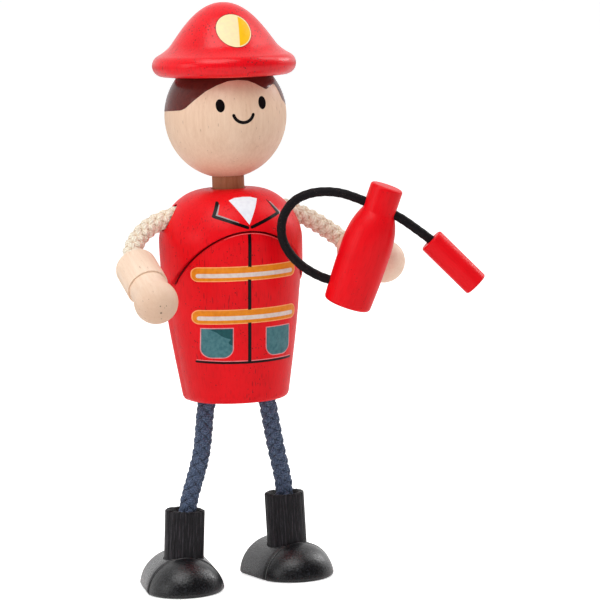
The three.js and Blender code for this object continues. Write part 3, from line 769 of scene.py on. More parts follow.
def bottle_outline():
    return outlined(
        (0, 0),
        (BOTTLE_FOOT_RADIUS - BOTTLE_FOOT_ROUND, 0),
        (10, (BOTTLE_FOOT_RADIUS, 0), (BOTTLE_FOOT_RADIUS, BOTTLE_FOOT_ROUND)),
        (16, (BOTTLE_RADIUS, BOTTLE_SHOULDER / 2), (BOTTLE_RADIUS, BOTTLE_SHOULDER)),
        (
            24,
            (BOTTLE_RADIUS, BOTTLE_SHOULDER + BOTTLE_PULL[0]),
            (BOTTLE_NECK_RADIUS + BOTTLE_FLARE, BOTTLE_NECK - BOTTLE_PULL[1]),
            (BOTTLE_NECK_RADIUS, BOTTLE_NECK),
        ),
        (BOTTLE_NECK_RADIUS, (BOTTLE_NECK + BOTTLE_LENGTH) / 2),
        (BOTTLE_NECK_RADIUS, BOTTLE_LENGTH - BOTTLE_TOP_ROUND),
        (6, (BOTTLE_NECK_RADIUS, BOTTLE_LENGTH), (BOTTLE_NECK_RADIUS - BOTTLE_TOP_ROUND, BOTTLE_LENGTH)),
        (0, BOTTLE_LENGTH),
    )


def add_bottle():
    bottle = add_mesh("extinguisher_bottle", *turned(bottle_outline()), RED_SMOOTH, hose_at)
    reach = BOTTLE_RADIUS + BORE_REACH
    bore = HOSE_RADIUS + GAP / 2
    holes = [rod((-reach, 0, HOSE_EXIT), (-BOTTLE_RADIUS + HOSE_IN_BOTTLE + GAP, 0, HOSE_EXIT), bore)]
    left, right = neck_bore(-reach), neck_bore(reach)
    holes.append(rod((left[0], 0, left[1]), (right[0], 0, right[1]), bore))
    cut(bottle, holes)
    finish_piece(bottle, "extinguisher", "extinguisher_body")


def add_nozzle():
    bore = HOSE_RADIUS + GAP / 2
    floor, inner = HOSE_IN_NOZZLE + GAP, NOZZLE_RADIUS - NOZZLE_EDGE
    outline = [(0, floor), (bore, floor), (bore, 0), (inner, 0), (NOZZLE_RADIUS, NOZZLE_EDGE)]
    outline += [(NOZZLE_RADIUS, NOZZLE_LENGTH * share) for share in (0.25, 0.5, 0.75)]
    outline += [(NOZZLE_RADIUS, NOZZLE_LENGTH - NOZZLE_EDGE), (inner, NOZZLE_LENGTH), (0, NOZZLE_LENGTH)]
    lay = Matrix.Rotation(math.pi / 2 + math.radians(NOZZLE_DIP), 4, "Y")
    at = hose_at @ Matrix.Translation((NOZZLE_MOUTH[0], 0, NOZZLE_MOUTH[1])) @ lay
    nozzle = add_mesh("extinguisher_nozzle_rod", *turned(outline, SMALL_SIDES), RED_SMOOTH, at)
    return finish_piece(nozzle, "nozzle", "extinguisher_nozzle")


add_bottle()
nozzle = add_nozzle()


def declare_hose():
    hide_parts("extinguisher_hose")
    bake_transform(hose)


declare_hose()


# Torso
def torso_side():
    """The outline of the torso's outside from its foot to the flat round the neck"""
    return outlined(
        (0, 0),
        (TORSO_FOOT_RADIUS / 2, 0),
        (TORSO_FOOT_RADIUS - TORSO_FOOT_ROUND, 0),
        (8, (TORSO_FOOT_RADIUS - TORSO_FOOT_SWELL, 0), (TORSO_FOOT_RADIUS, TORSO_FOOT_ROUND)),
        (
            110,
            (TORSO_FOOT_RADIUS + TORSO_FLARE[0], TORSO_FOOT_ROUND + TORSO_FLARE[1]),
            (TORSO_RADIUS, CHEST_HEIGHT - CHEST_PULL),
            (TORSO_RADIUS, CHEST_HEIGHT),
        ),
        (
            90,
            (TORSO_RADIUS, CHEST_HEIGHT + SHOULDER_PULL[1]),
            (TORSO_TOP_RADIUS + SHOULDER_PULL[0], TORSO_HEIGHT),
            (TORSO_TOP_RADIUS, TORSO_HEIGHT),
        ),
    )


TORSO_SIDE = torso_side()


def smooth_step(value, low, high):
    share = np.clip((value - low) / (high - low), 0, 1)
    return share * share * (3 - 2 * share)


def ridge(distance, place_of, size, half_width):
    """A smooth ridge of a given size at one distance"""
    return size * np.exp(-(((distance - place_of) / half_width) ** 2))


def panel_depth(x, y, height):
    """How far the arched front panel lies below the turned surface"""
    beyond = np.maximum(0, height - PANEL_MIDDLE)
    inside = PANEL_RADIUS - np.sqrt(x * x + beyond * beyond)
    from_front = np.degrees(np.arctan2(np.abs(x), -y))
    fade = 1 - smooth_step(from_front, *PANEL_FADE)
    step = PANEL_RECESS * smooth_step(inside, -PANEL_EDGE / 2, PANEL_EDGE / 2)
    above = smooth_step(height, PANEL_MIDDLE - PANEL_BLEND, PANEL_MIDDLE + PANEL_BLEND)
    return (step + (ridge(inside, *PANEL_GROOVE) - ridge(inside, *PANEL_LIP)) * above) * fade


def press_panel(points):
    """The torso's points with the front panel pressed in"""
    share = 1 - panel_depth(points[:, 0], points[:, 1], points[:, 2]) / TORSO_RADIUS
    share[np.hypot(points[:, 0], points[:, 1]) < TORSO_TOP_RADIUS] = 1
    return points * np.stack([share, share, np.ones_like(share)], axis=1)


def torso_radius(height):
    outer = [p for p in TORSO_SIDE if p[0] >= TORSO_TOP_RADIUS and p[1] > 0]
    return float(np.interp(height, [p[1] for p in outer], [p[0] for p in outer]))


def arm_root(side):
    tilt = math.radians(side["arm_tilt"])
    height = TORSO_HEIGHT - SHOULDER_DROP
    mouth = Vector((side["sign"] * torso_radius(height), 0, HIP_HEIGHT + height))
    return mouth, Vector((side["sign"] * math.cos(tilt), 0, -math.sin(tilt)))


def shaft_direction(side):
    lean = math.radians(side["shaft_lean"])
    return Vector((-side["sign"] * math.sin(lean), 0, math.cos(lean)))


def along_shaft(side, height):
    up = shaft_direction(side)
    return Vector((*side["boot"], 0)) + up * (height / up.z)


def leg_root(side):
    mouth = Vector((side["sign"] * LEG_SPREAD, 0, HIP_HEIGHT))
    return mouth, (along_shaft(side, side["shaft_top"]) - mouth).normalized()


TORSO_SIDES = 400
BORE_MARGIN = 4
PANEL_BAND = (-0.6, 1.2)  # distances inside the arch between which the mesh is finer
PANEL_BACK = 1.5  # how far behind the axis the finer mesh still reaches
PANEL_CUTS = 2


def refine_panel(torso):
    """Cuts the torso's faces finer along the arch, then presses the panel in"""
    bm = bmesh.new()
    bm.from_mesh(torso.data)

    def in_band(vert):
        x, y, height = vert.co / MM
        inside = PANEL_RADIUS - math.hypot(x, max(0, height - PANEL_MIDDLE))
        near_arch = PANEL_BAND[0] < inside < PANEL_BAND[1] and height > PANEL_MIDDLE - PANEL_BLEND
        return near_arch and y < PANEL_BACK and math.hypot(x, y) > TORSO_TOP_RADIUS

    near = {vert for vert in bm.verts if in_band(vert)}
    edges = [edge for edge in bm.edges if edge.verts[0] in near and edge.verts[1] in near]
    bmesh.ops.subdivide_edges(bm, edges=edges, cuts=PANEL_CUTS, use_grid_fill=True)
    points = np.array([vert.co for vert in bm.verts]) / MM
    for vert, point in zip(bm.verts, press_panel(points)):
        vert.co = point * MM
    bm.to_mesh(torso.data)
    bm.free()
    shade(torso.data)


def add_torso():
    floor = TORSO_HEIGHT - NECK_IN_TORSO - GAP
    bore = NECK_RADIUS + GAP
    outline = TORSO_SIDE + [(bore, TORSO_HEIGHT), (bore, floor), (0, floor)]
    vertices, faces = turned(outline, TORSO_SIDES)
    torso = add_mesh("torso_jacket", vertices, faces, RED_SATIN, stand((0, 0, HIP_HEIGHT)))
    refine_panel(torso)
    holes = []
    down = Vector((0, 0, -HIP_HEIGHT))
    for side in SIDES.values():
        for (mouth, out), depth, radius in (
            (arm_root(side), ARM_ROOT_DEPTH, ARM_RADIUS),
            (leg_root(side), LEG_ROOT_DEPTH, LEG_RADIUS),
        ):
            start = mouth + down - out * (depth + GAP)
            holes.append(rod(start, mouth + down + out * BORE_MARGIN, radius + GAP / 2))
    cut(torso, holes)
    finish_piece(torso, "torso", "torso")


add_torso()


# Neck, head and hat
def add_neck():
    low, high = TORSO_TOP - NECK_IN_TORSO, TORSO_TOP + NECK_SHOWS + NECK_IN_HEAD
    length, inner = high - low, NECK_RADIUS - NECK_EDGE
    outline = [(0, 0), (inner, 0), (NECK_RADIUS, NECK_EDGE), (NECK_RADIUS, length / 2)]
    outline += [(NECK_RADIUS, length - NECK_EDGE), (inner, length), (0, length)]
    neck = add_mesh("neck", *turned(outline, SMALL_SIDES), NECK_WOOD, stand((0, 0, low)))
    finish_piece(neck, "head", "neck_dowel")


def head_radius_at(height):
    return HEAD_RADIUS * math.sqrt(max(0, 1 - (2 * height / HEAD_HEIGHT) ** 2))


def add_head():
    bore = NECK_RADIUS + GAP
    start = -math.degrees(math.acos(bore / HEAD_RADIUS))
    floor = -HEAD_HEIGHT / 2 + NECK_IN_HEAD + GAP
    outline = [(0, floor), (bore, floor)]
    outline += arc((0, 0), HEAD_RADIUS, start, 90, 120, HEAD_STRETCH)
    outline[-1] = (0, HEAD_HEIGHT / 2)
    head = add_mesh("head_ball", *turned(outline), HEAD_WOOD, stand((0, 0, HEAD_MIDDLE)))
    finish_piece(head, "head", "head")


def crown_side():
    """The hat's outside from its brim's top to its crown's top"""
    foot = BRIM_THICKNESS + CROWN_FOOT_RISE
    crown = outlined(
        (CROWN_FOOT_RADIUS, foot),
        (
            72,
            (CROWN_FOOT_RADIUS - CROWN_LEAN * CROWN_PULL[1], foot + CROWN_PULL[1]),
            (CROWN_PULL[0], HAT_HEIGHT),
            (0, HAT_HEIGHT),
        ),
    )
    half = BRIM_THICKNESS / 2
    start = arc((BRIM_RADIUS - half, half), half, BRIM_END, BRIM_END, 1)[0]
    turn = math.radians(BRIM_END)
    from_brim, from_crown = HOLLOW_PULLS
    leave = (start[0] - from_brim * math.sin(turn), start[1] + from_brim * math.cos(turn))
    free = [p for p in crown if p[1] > BRIM_THICKNESS + CROWN_FILLET]
    slope = np.subtract(free[0], free[1])
    arrive = tuple(np.array(free[0]) + slope / np.linalg.norm(slope) * from_crown)
    return bezier([start, leave, arrive, free[0]], 20) + free[1:]


CROWN_SIDE = crown_side()


def hat_stand():
    tilt = Matrix.Rotation(math.radians(HAT_TILT), 4, "Y")
    return stand((0, 0, HEAD_MIDDLE)) @ tilt @ Matrix.Translation((0, 0, HAT_SEAT * MM))


def add_hat():
    half = BRIM_THICKNESS / 2
    hollow = HEAD_RADIUS + GAP
    rim = math.degrees(math.asin(HAT_SEAT / (hollow * HEAD_STRETCH)))
    outline = [(r, z - HAT_SEAT) for r, z in arc((0, 0), hollow, 90, rim, 40, HEAD_STRETCH)]
    outline[0] = (0, outline[0][1])
    outline += arc((BRIM_RADIUS - half, half), half, -90, BRIM_END, 40)
    outline += CROWN_SIDE
    outline[-1] = (0, HAT_HEIGHT)
    hat = add_mesh("hat_shell", *turned(outline, 200), RED_GLOSS, hat_stand())
    finish_piece(hat, "head", "hat")


add_neck()
add_head()
add_hat()


# Paint on round surfaces
PAINT_SINK = 0.12
PAINT_GRID = 0.5
PRESS_ROUNDS = 4  # rounds in which a point's place before the panel was pressed in is found


def front_y(x, radius):
    return -math.sqrt(max(radius * radius - x * x, 0.01))


def front_point(x, height, radius, radius_at, step):
    """A point on the front of a turned surface and its normal, from the slope over two small steps"""
    y = front_y(x, radius)
    lean = (radius_at(-step) - radius_at(step)) / (2 * step)
    return Vector((x, y, height)), Vector((x / radius, y / radius, lean)).normalized()


def round_front(radius_at):
    """The front of a turned surface as a function of the distance sideways and the height"""

    def surface(x, height):
        return front_point(x, height, radius_at(height), lambda step: radius_at(height + step), 0.05)

    return surface


def panel_front(x, height):
    """The front of the torso, the panel's step included, at a height above the floor"""
    level = height - HIP_HEIGHT
    radius = torso_radius(level)
    share = 1
    for _ in range(PRESS_ROUNDS):
        before = x / share
        share = 1 - float(panel_depth(before, front_y(before, radius), level)) / TORSO_RADIUS
    return front_point(x, height, radius * share, lambda step: torso_radius(level + step), 0.1)


def paint(name, outline, surface, lift, material, body, at):
    """A closed layer of paint of a given outline on a surface, standing a little proud of it"""
    bm = bmesh.new()
    face = bm.faces.new([bm.verts.new((u, v, 0)) for u, v in outline])
    face.normal_update()
    bmesh.ops.triangulate(bm, faces=[face])
    for axis in (0, 1):
        low, high = min(p[axis] for p in outline), max(p[axis] for p in outline)
        normal = (1, 0, 0) if axis == 0 else (0, 1, 0)
        for cut_at in np.arange(low + PAINT_GRID, high, PAINT_GRID):
            through = tuple(cut_at * n for n in normal)
            everything = bm.verts[:] + bm.edges[:] + bm.faces[:]
            bmesh.ops.bisect_plane(bm, geom=everything, plane_co=through, plane_no=normal)
    upper = bmesh.ops.extrude_face_region(bm, geom=bm.faces[:])["geom"]
    top = {v for v in upper if isinstance(v, bmesh.types.BMVert)}
    for vert in bm.verts:
        point, normal = surface(vert.co.x, vert.co.y)
        vert.co = (point + normal * (lift if vert in top else -PAINT_SINK)) * MM
    bmesh.ops.recalc_face_normals(bm, faces=bm.faces[:])
    mesh = bpy.data.meshes.new(name)
    bm.to_mesh(mesh)
    bm.free()
    shade(mesh)
    layer = link_object(name, mesh, material, at)
    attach(layer, body)
    return layer


def ellipse(middle, half_width, half_height, steps=48):
    x, z = middle
    return [(x + half_width * math.cos(a), z + half_height * math.sin(a)) for a in round_angles(steps)]


def rounded_box(left, right, low, high, corners, steps=8):
    """An upright box with its own radius at each corner: low right, high right, high left, low left"""
    turns = ((right, low, -1, 1), (right, high, -1, -1), (left, high, 1, -1), (left, low, 1, 1))
    outline = []
    for first, radius, (x, z, inward_x, inward_z) in zip((-90, 0, 90, 180), corners, turns):
        middle = (x + inward_x * radius, z + inward_z * radius)
        outline += arc(middle, radius, first, first + 90, steps if radius > 0.05 else 1)
    return outline


def stroke(points, width, round_ends=True, steps=6):
    """The outline of a line drawn through points, with one width or a width at each point"""
    line = np.array(points, float)
    tangents = unit_rows(np.gradient(line, axis=0))
    half_widths = np.broadcast_to(width, len(points)) / 2
    sideways = np.stack([-tangents[:, 1], tangents[:, 0]], axis=1) * half_widths[:, None]
    left, right = line + sideways, line - sideways
    outline = [tuple(p) for p in right]
    if round_ends:
        outline += half_turn(line[-1], right[-1] - line[-1], steps)
    outline += [tuple(p) for p in left[::-1]]
    if round_ends:
        outline += half_turn(line[0], left[0] - line[0], steps)
    return outline


def half_turn(middle, spoke, steps):
    """Points of a half circle from a spoke round to the far side, both ends left out"""
    result = []
    for step in range(1, steps):
        angle = math.pi * step / steps
        x = spoke[0] * math.cos(angle) - spoke[1] * math.sin(angle)
        y = spoke[0] * math.sin(angle) + spoke[1] * math.cos(angle)
        result.append((middle[0] + x, middle[1] + y))
    return result


FIRST_LAYER = 0.02
SECOND_LAYER = 0.035
THIRD_LAYER = 0.05

# Jacket print, from the front: sideways from the doll's axis and up from the floor
SHIRT = [(-3.3, 97.95), (-1.8, 98.45), (0.4, 98.6), (2.3, 98.5), (3.95, 98.05), (0.3, 92.2)]
LAPELS = {
    "right": [(-6.1, 97.5), (-7.75, 94.45), (-0.25, 91.55)],
    "left": [(6.5, 97.55), (8.75, 94.35), (0.85, 91.6)],
}
LAPEL_WIDTHS = {"right": (0.75, 0.7), "left": (0.15, 0.8)}  # of the upper stroke at its top and its foot
LAPEL_LINE = 0.75
GLARE_SHIFT = 0.5  # from the black strokes to the painted reflection beside them
GLARE_WIDTHS = (0.2, 0.6)  # of the painted reflection beside the upper stroke at its top and its foot
GLARE_LINE_WIDTHS = (0.6, 0.15)  # of the painted reflection above the right lower stroke, from the outside inward
UNDER_LAYER = 0.012
ZIP_WIDTH = 0.84
ZIP_PARTS = [((0.16, 90.4), (-0.15, 81.9)), ((-0.3, 78.9), (-0.4, 71.4)), ((-0.42, 68.2), (-0.42, 58.3))]
# Stripes: left and right end, foot, top and the height of the tape's middle
STRIPES = [(-13.4, 12.95, 78.6, 82.2, 80.05), (-13.25, 12.95, 68.0, 71.6, 69.5)]
STRIPE_RIM = 0.22
STRIPE_CORNER = 1.5
TAPE_HALF = 0.52
TAPE_CORNER = 0.9  # as a share of the tape's half width
TAPE_INSET = 1.0
POCKETS = [(-11.6, -4.3, 59.45, 67.1), (3.8, 11.05, 59.35, 66.75)]
POCKET_CORNERS = [2.5, 0.15, 0.15, 2.5]
POCKET_RIM = 0.22
POCKET_STAIN = [
    (-9.5, 66.6), (-8.2, 66.0), (-7.2, 65.15), (-6.4, 64.7), (-5.55, 64.4), (-4.95, 64.2), (-5.55, 63.45),
    (-5.24, 62.95), (-4.55, 62.7), (-4.5, 66.8), (-9.0, 66.85),
]
HEM = [(-12.1, 58.55), (-6.6, 58.3), (-0.5, 58.2), (6, 58.2), (11.4, 58.2)]
HEM_WIDTH = 0.55
HEM_HIGHLIGHT = (0.42, 0.16)  # height of the painted highlight line above the hem's middle, and its width

# Lines along the arch: ends in degrees, distance inside the arch, depth below the turned surface, width,
# lift and colour. The first is painted shade, dark paint that fills the groove; the second is a painted
# highlight on the lip below it.
ARCH_LINES = {
    "arch_crease": (
        (165, 15), PANEL_GROOVE[0], PANEL_RECESS + PANEL_GROOVE[1] / 2, 0.26, 0.2, PRINT["crease"]
    ),
    "arch_highlight": ((112, 52), PANEL_LIP[0], PANEL_RECESS, 0.15, SECOND_LAYER, PRINT["light"]),
}
ARCH_STEPS = 80
ARCH_TIP = 0.05  # width at a line's ends


def print_on_jacket(name, outline, lift, material):
    paint(f"{name}_print", outline, panel_front, lift, material, "torso", DOLL_STAND)


def straight(start, end, count):
    return [tuple(p) for p in np.linspace(start, end, count)]


def print_lapels():
    for side, (top, corner, foot) in LAPELS.items():
        upper = stroke(straight(top, corner, 8), np.linspace(*LAPEL_WIDTHS[side], 8))
        lower = stroke(straight(corner, foot, 14), LAPEL_LINE)
        # The grey strips are painted reflection, the shine of the glossy black strokes drawn as paint
        beside = [(x + GLARE_SHIFT, z) for x, z in straight(top, corner, 8)[1:]]
        glare = stroke(beside, np.linspace(*GLARE_WIDTHS, len(beside)))
        print_on_jacket(f"{side}_lapel_upper", upper, FIRST_LAYER, PRINT["black"])
        print_on_jacket(f"{side}_lapel_lower", lower, SECOND_LAYER, PRINT["black"])
        print_on_jacket(f"{side}_lapel_glare", glare, UNDER_LAYER, PRINT["glare"])
    above = [(x, z + GLARE_SHIFT) for x, z in straight(*LAPELS["right"][1:], 20)[1:15]]
    glare_line = stroke(above, np.linspace(*GLARE_LINE_WIDTHS, len(above)))
    print_on_jacket("lapel_glare_line", glare_line, UNDER_LAYER, PRINT["glare"])


# Draws the arch's painted shade in its groove and a painted highlight on the lip below
def print_arch():
    for name, (ends, inside, depth, width, lift, material) in ARCH_LINES.items():
        pressed = 1 - depth / TORSO_RADIUS
        whole = arc((0, HIP_HEIGHT + PANEL_MIDDLE), PANEL_RADIUS - inside, *ends, ARCH_STEPS)
        line = [(x * pressed, z) for x, z in whole]
        taper = [math.sin(math.pi * k / ARCH_STEPS) for k in range(ARCH_STEPS + 1)]
        widths = [max(ARCH_TIP, width * share**0.4) for share in taper]
        print_on_jacket(name, stroke(line, widths, False), lift, material)


def print_stripes():
    for index, (left, right, low, high, tape) in enumerate(STRIPES, 1):
        rim = STRIPE_RIM
        outer = rounded_box(left, right, low, high, [STRIPE_CORNER] * 4)
        inner = rounded_box(left + rim, right - rim, low + rim, high - rim, [STRIPE_CORNER - rim] * 4)
        band = (left + TAPE_INSET, right - TAPE_INSET, tape - TAPE_HALF, tape + TAPE_HALF)
        tape_outline = rounded_box(*band, [TAPE_HALF * TAPE_CORNER] * 4)
        print_on_jacket(f"stripe_{index}_rim", outer, FIRST_LAYER, PRINT["peach"])
        print_on_jacket(f"stripe_{index}", inner, SECOND_LAYER, PRINT["orange"])
        print_on_jacket(f"stripe_{index}_tape", tape_outline, THIRD_LAYER, PRINT["tape"])


def print_pockets():
    for side, (left, right, low, high) in zip(("right", "left"), POCKETS):
        rim = POCKET_RIM
        corners = [max(0.1, corner - rim) for corner in POCKET_CORNERS]
        outer = rounded_box(left, right, low, high, POCKET_CORNERS)
        inner = rounded_box(left + rim, right - rim, low + rim, high - rim, corners)
        print_on_jacket(f"{side}_pocket_rim", outer, FIRST_LAYER, PRINT["pink"])
        print_on_jacket(f"{side}_pocket", inner, SECOND_LAYER, PRINT["teal"])
    print_on_jacket("pocket_stain", POCKET_STAIN, THIRD_LAYER, PRINT["dark_teal"])


def print_hem():
    rise, highlight_width = HEM_HIGHLIGHT
    # Painted highlight: a pink line just above the black hem
    light = stroke([(x, z + rise) for x, z in HEM], highlight_width)
    print_on_jacket("hem_highlight", light, FIRST_LAYER, PRINT["pink"])
    print_on_jacket("hem", stroke(HEM, HEM_WIDTH), FIRST_LAYER, PRINT["black"])


def print_jacket():
    print_on_jacket("shirt", SHIRT[::-1], FIRST_LAYER, PRINT["white"])
    print_lapels()
    print_arch()
    for index, (top, foot) in enumerate(ZIP_PARTS, 1):
        part = stroke(straight(top, foot, 12), ZIP_WIDTH, False)
        print_on_jacket(f"zip_{index}", part, SECOND_LAYER, PRINT["black"])
    print_stripes()
    print_pockets()
    print_hem()


# Face, from the front: sideways and up from the middle of the head
EYES = [("right", -5.05, 3.2, 1.05, 1.58), ("left", 5.6, 3.42, 1.05, 1.58)]
SMILE_MIDDLE = (0.42, 1.5)
SMILE_RADIUS = 2.6
SMILE_WIDTH = 0.78
SMILE_ENDS = (-163, -17)

# Hair's lower edge: degrees from the front, the doll's left side positive, and height above the
# middle of the head
HAIRLINE = [
    (-180, 1.3), (-101, 1.6), (-62, 2.2), (-56, 2.75), (-46, 4.75), (-35, 6.75), (-24, 8.05), (-12, 8.95),
    (0, 9.15), (12, 8.85), (20, 8.1), (26, 7.25), (32.5, 6.5), (37, 6.85), (45, 7.4), (51, 7.6),
    (53.8, 6.9), (54.6, 5.6), (56, 4.3), (58.5, 3.3), (63, 2.9), (70, 2.15), (101, 1.6), (180, 1.3),
]
HAIR_TOP = 13.2
HAIR_LIFT = 0.03
HAIR_COLUMNS = 480
HAIR_ROWS = 40
HAIR_SOFTNESS = 1.2


def hairline(degrees):
    """Height of the hair's edge at an angle from the front, without corners"""
    angles, heights = zip(*HAIRLINE)
    spread = np.linspace(-HAIR_SOFTNESS, HAIR_SOFTNESS, 9)
    return float(np.mean(np.interp(degrees + spread, angles, heights)))


def add_hair():
    """The painted hair: a closed thin shell from the hairline up under the hat"""
    columns = np.degrees(round_angles(HAIR_COLUMNS)) - 180
    edge = [(math.radians(degrees), hairline(degrees)) for degrees in columns]
    rows = [(row / HAIR_ROWS, HAIR_LIFT) for row in range(HAIR_ROWS + 1)]
    rows += [(share, -PAINT_SINK) for share, _ in rows[::-1]]
    vertices = []
    for share, layer in rows:
        for angle, low in edge:
            height = low + (HAIR_TOP - low) * share
            radius = head_radius_at(height) + layer
            raised = height * (1 + layer / HEAD_RADIUS)
            vertices.append((radius * math.sin(angle), -radius * math.cos(angle), raised))
    count = len(vertices)
    faces = [tuple(i % count for i in face) for face in ring_faces(0, HAIR_COLUMNS, len(rows) + 1)]
    hair = add_mesh("hair_paint", vertices, faces, HAIR_PAINT, stand((0, 0, HEAD_MIDDLE)))
    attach(hair, "head")


def paint_face():
    at = stand((0, 0, HEAD_MIDDLE))
    surface = round_front(head_radius_at)
    for side, x, height, half_width, half_height in EYES:
        outline = ellipse((x, height), half_width, half_height)
        paint(f"{side}_eye_paint", outline, surface, FIRST_LAYER, PRINT["black"], "head", at)
    line = arc(SMILE_MIDDLE, SMILE_RADIUS, *SMILE_ENDS, 24)
    paint("smile_paint", stroke(line, SMILE_WIDTH), surface, FIRST_LAYER, PRINT["black"], "head", at)


# Badge on the crown, from the front: sideways and up from the brim's foot
BADGE_MIDDLE = (-0.05, 11.2)
BADGE_HALF = (4.3, 3.9)
# width of the painted shadow round the badge's edge
BADGE_SHADE_WIDTH = 0.16
BADGE_YELLOW_RIM = 0.25
BADGE_SPLIT = [(1.6, 15.5), (1.7, 11.9), (0.25, 7.0)]


def crown_radius(height):
    points = CROWN_SIDE[1:]
    return float(np.interp(height, [p[1] for p in points], [p[0] for p in points]))


def paint_badge():
    at = hat_stand()
    surface = round_front(crown_radius)
    half_width, half_height = BADGE_HALF
    # A dark ring of painted shadow round the badge's edge, under the cream
    rim = ellipse(BADGE_MIDDLE, half_width + BADGE_SHADE_WIDTH, half_height + BADGE_SHADE_WIDTH, 72)
    base = ellipse(BADGE_MIDDLE, half_width, half_height, 72)
    inner = ellipse(BADGE_MIDDLE, half_width - BADGE_YELLOW_RIM, half_height - BADGE_YELLOW_RIM, 144)
    split_heights = [z for _, z in BADGE_SPLIT[::-1]]
    split_sides = [x for x, _ in BADGE_SPLIT[::-1]]
    yellow = [p for p in inner if p[0] > np.interp(p[1], split_heights, split_sides)]
    yellow.sort(key=lambda p: math.atan2(p[1] - BADGE_MIDDLE[1], p[0] - BADGE_MIDDLE[0]))
    paint("badge_edge_shade_paint", rim, surface, FIRST_LAYER, PRINT["rim"], "head", at)
    paint("badge_paint", base, surface, SECOND_LAYER, PRINT["cream"], "head", at)
    paint("badge_yellow_paint", yellow, surface, THIRD_LAYER, PRINT["yellow"], "head", at)


print_jacket()
add_hair()
paint_face()
paint_badge()


# Hands
CUFF_EDGE = 0.16
LEDGE_DEPTH = 0.16  # of the groove where the ball part meets the cuff
LEDGE_ENDS = (0.5, 0.1)  # how far that groove reaches below the cuff's edge and into it
BORE_EDGE = (0.2, 0.25)  # width and depth of the worn edge of the cord's hole


def hand_outline():
    ball = BALL_RADIUS - HAND_LENGTH
    rise = math.degrees(math.acos(WAIST_RADIUS / BALL_RADIUS))
    bore = ARM_RADIUS + GAP / 2
    outline = arc((0, ball), BALL_RADIUS, -90, rise, 60)
    outline[0] = (0, -HAND_LENGTH)
    groove = WAIST_RADIUS - LEDGE_DEPTH
    floor = -HAND_CORD_DEPTH - GAP
    return outline + outlined(
        (groove, -CUFF_LENGTH - LEDGE_ENDS[0]),
        (groove, -CUFF_LENGTH + LEDGE_ENDS[1]),
        (CUFF_RADIUS - CUFF_EDGE, -CUFF_LENGTH),
        (5, (CUFF_RADIUS, -CUFF_LENGTH), (CUFF_RADIUS, -CUFF_LENGTH + CUFF_EDGE)),
        *((CUFF_RADIUS, -CUFF_LENGTH * share) for share in (0.75, 0.5, 0.35)),
        (CUFF_RADIUS, -CUFF_ROUND),
        (12, (CUFF_RADIUS, 0), (CUFF_TOP_RADIUS, 0)),
        (bore + BORE_EDGE[0], 0),
        (bore, -BORE_EDGE[1]),
        (bore, floor),
        (0, floor),
    )


def add_hand(name, side):
    at = stand(side["hand_top"], facing(-hand_direction(side)))
    hand = add_mesh(f"{name}_hand_wood", *turned(hand_outline(), SMALL_SIDES), HAND_WOODS[name], at)
    finish_piece(hand, f"{name}_hand", f"{name}_hand")


# Boots
SHAFT_EDGE = 0.45
MOUTH_EDGE = 0.15
SHAFT_SIDES = 420
SHAFT_RINGS = 14
SHAFT_SEEDS = {"right": 4, "left": 9}
GROOVES = 95
GROOVE_DEPTH = 0.13
GROOVE_WIDTHS = (0.018, 0.04)  # radians
GROOVE_REACHES = (0.3, 1.2)  # as shares of the shaft's length
RIM_WEAR = 0.3
FOOT_SECTIONS = 72
FOOT_ARCH = 120
FOOT_ROUND = 0.5
SOLE_ROUND = 1.0

# The crease between block and toe: distance in front of it, and the share by which the foot is narrower
CREASE_CUT = [
    (-0.7, 0), (-0.35, 0.012), (-0.12, 0.04), (0.1, 0.055), (0.35, 0.028), (0.7, 0.01), (1.1, 0.002),
]


def shaft_grooves(seed, length):
    """A function of angles and height that gives how deep the upright grain is cut there, 0 to 1"""
    chance = np.random.default_rng(seed)
    middles = chance.uniform(-math.pi, math.pi, GROOVES)
    widths = chance.uniform(*GROOVE_WIDTHS, GROOVES)
    sizes = chance.uniform(0.3, 1, GROOVES)
    centres = chance.uniform(0, length, GROOVES)
    reaches = chance.uniform(*GROOVE_REACHES, GROOVES) * length

    def depth(angles, height):
        apart = np.angle(np.exp(1j * (angles[:, None] - middles[None, :])))
        share = sizes * np.exp(-(((height - centres) / reaches) ** 2))
        return np.minimum(1, (share * np.exp(-((apart / widths) ** 2))).sum(axis=1))

    return depth


def add_shaft(name, side):
    up = shaft_direction(side)
    length = (side["shaft_top"] - SHAFT_SEAT) / up.z
    bore = LEG_RADIUS + GAP
    floor = length - LEG_IN_BOOT - GAP
    grain = shaft_grooves(SHAFT_SEEDS[name], length)

    def reshape(ring):
        radius, height = np.hypot(ring[0, 0], ring[0, 1]), ring[0, 2]
        if radius < MOUTH_RADIUS + MOUTH_EDGE / 2:
            return ring
        cut_in = grain(np.arctan2(ring[:, 1], ring[:, 0]), height)
        share = 1 - GROOVE_DEPTH * cut_in / radius
        drop = RIM_WEAR * cut_in if height > length - SHAFT_EDGE / 2 else 0
        return np.stack([ring[:, 0] * share, ring[:, 1] * share, ring[:, 2] - drop], axis=1)

    outline = outlined(
        (0, 0),
        *((SHAFT_RADIUS, length * share) for share in np.linspace(0, 0.95, SHAFT_RINGS)),
        (SHAFT_RADIUS, length - SHAFT_EDGE),
        (5, (SHAFT_RADIUS, length), (SHAFT_RADIUS - SHAFT_EDGE, length)),
        (MOUTH_RADIUS + MOUTH_EDGE, length),
        (MOUTH_RADIUS, length - MOUTH_EDGE),
        (bore, length - MOUTH_DEPTH),
        (bore, floor),
        (0, floor),
    )
    at = stand(along_shaft(side, SHAFT_SEAT), facing(up))
    shaft = add_mesh(f"{name}_shaft_wood", *turned(outline, SHAFT_SIDES, reshape), SHAFT_WOOD, at)
    finish_piece(shaft, f"{name}_boot", f"{name}_boot_shaft")


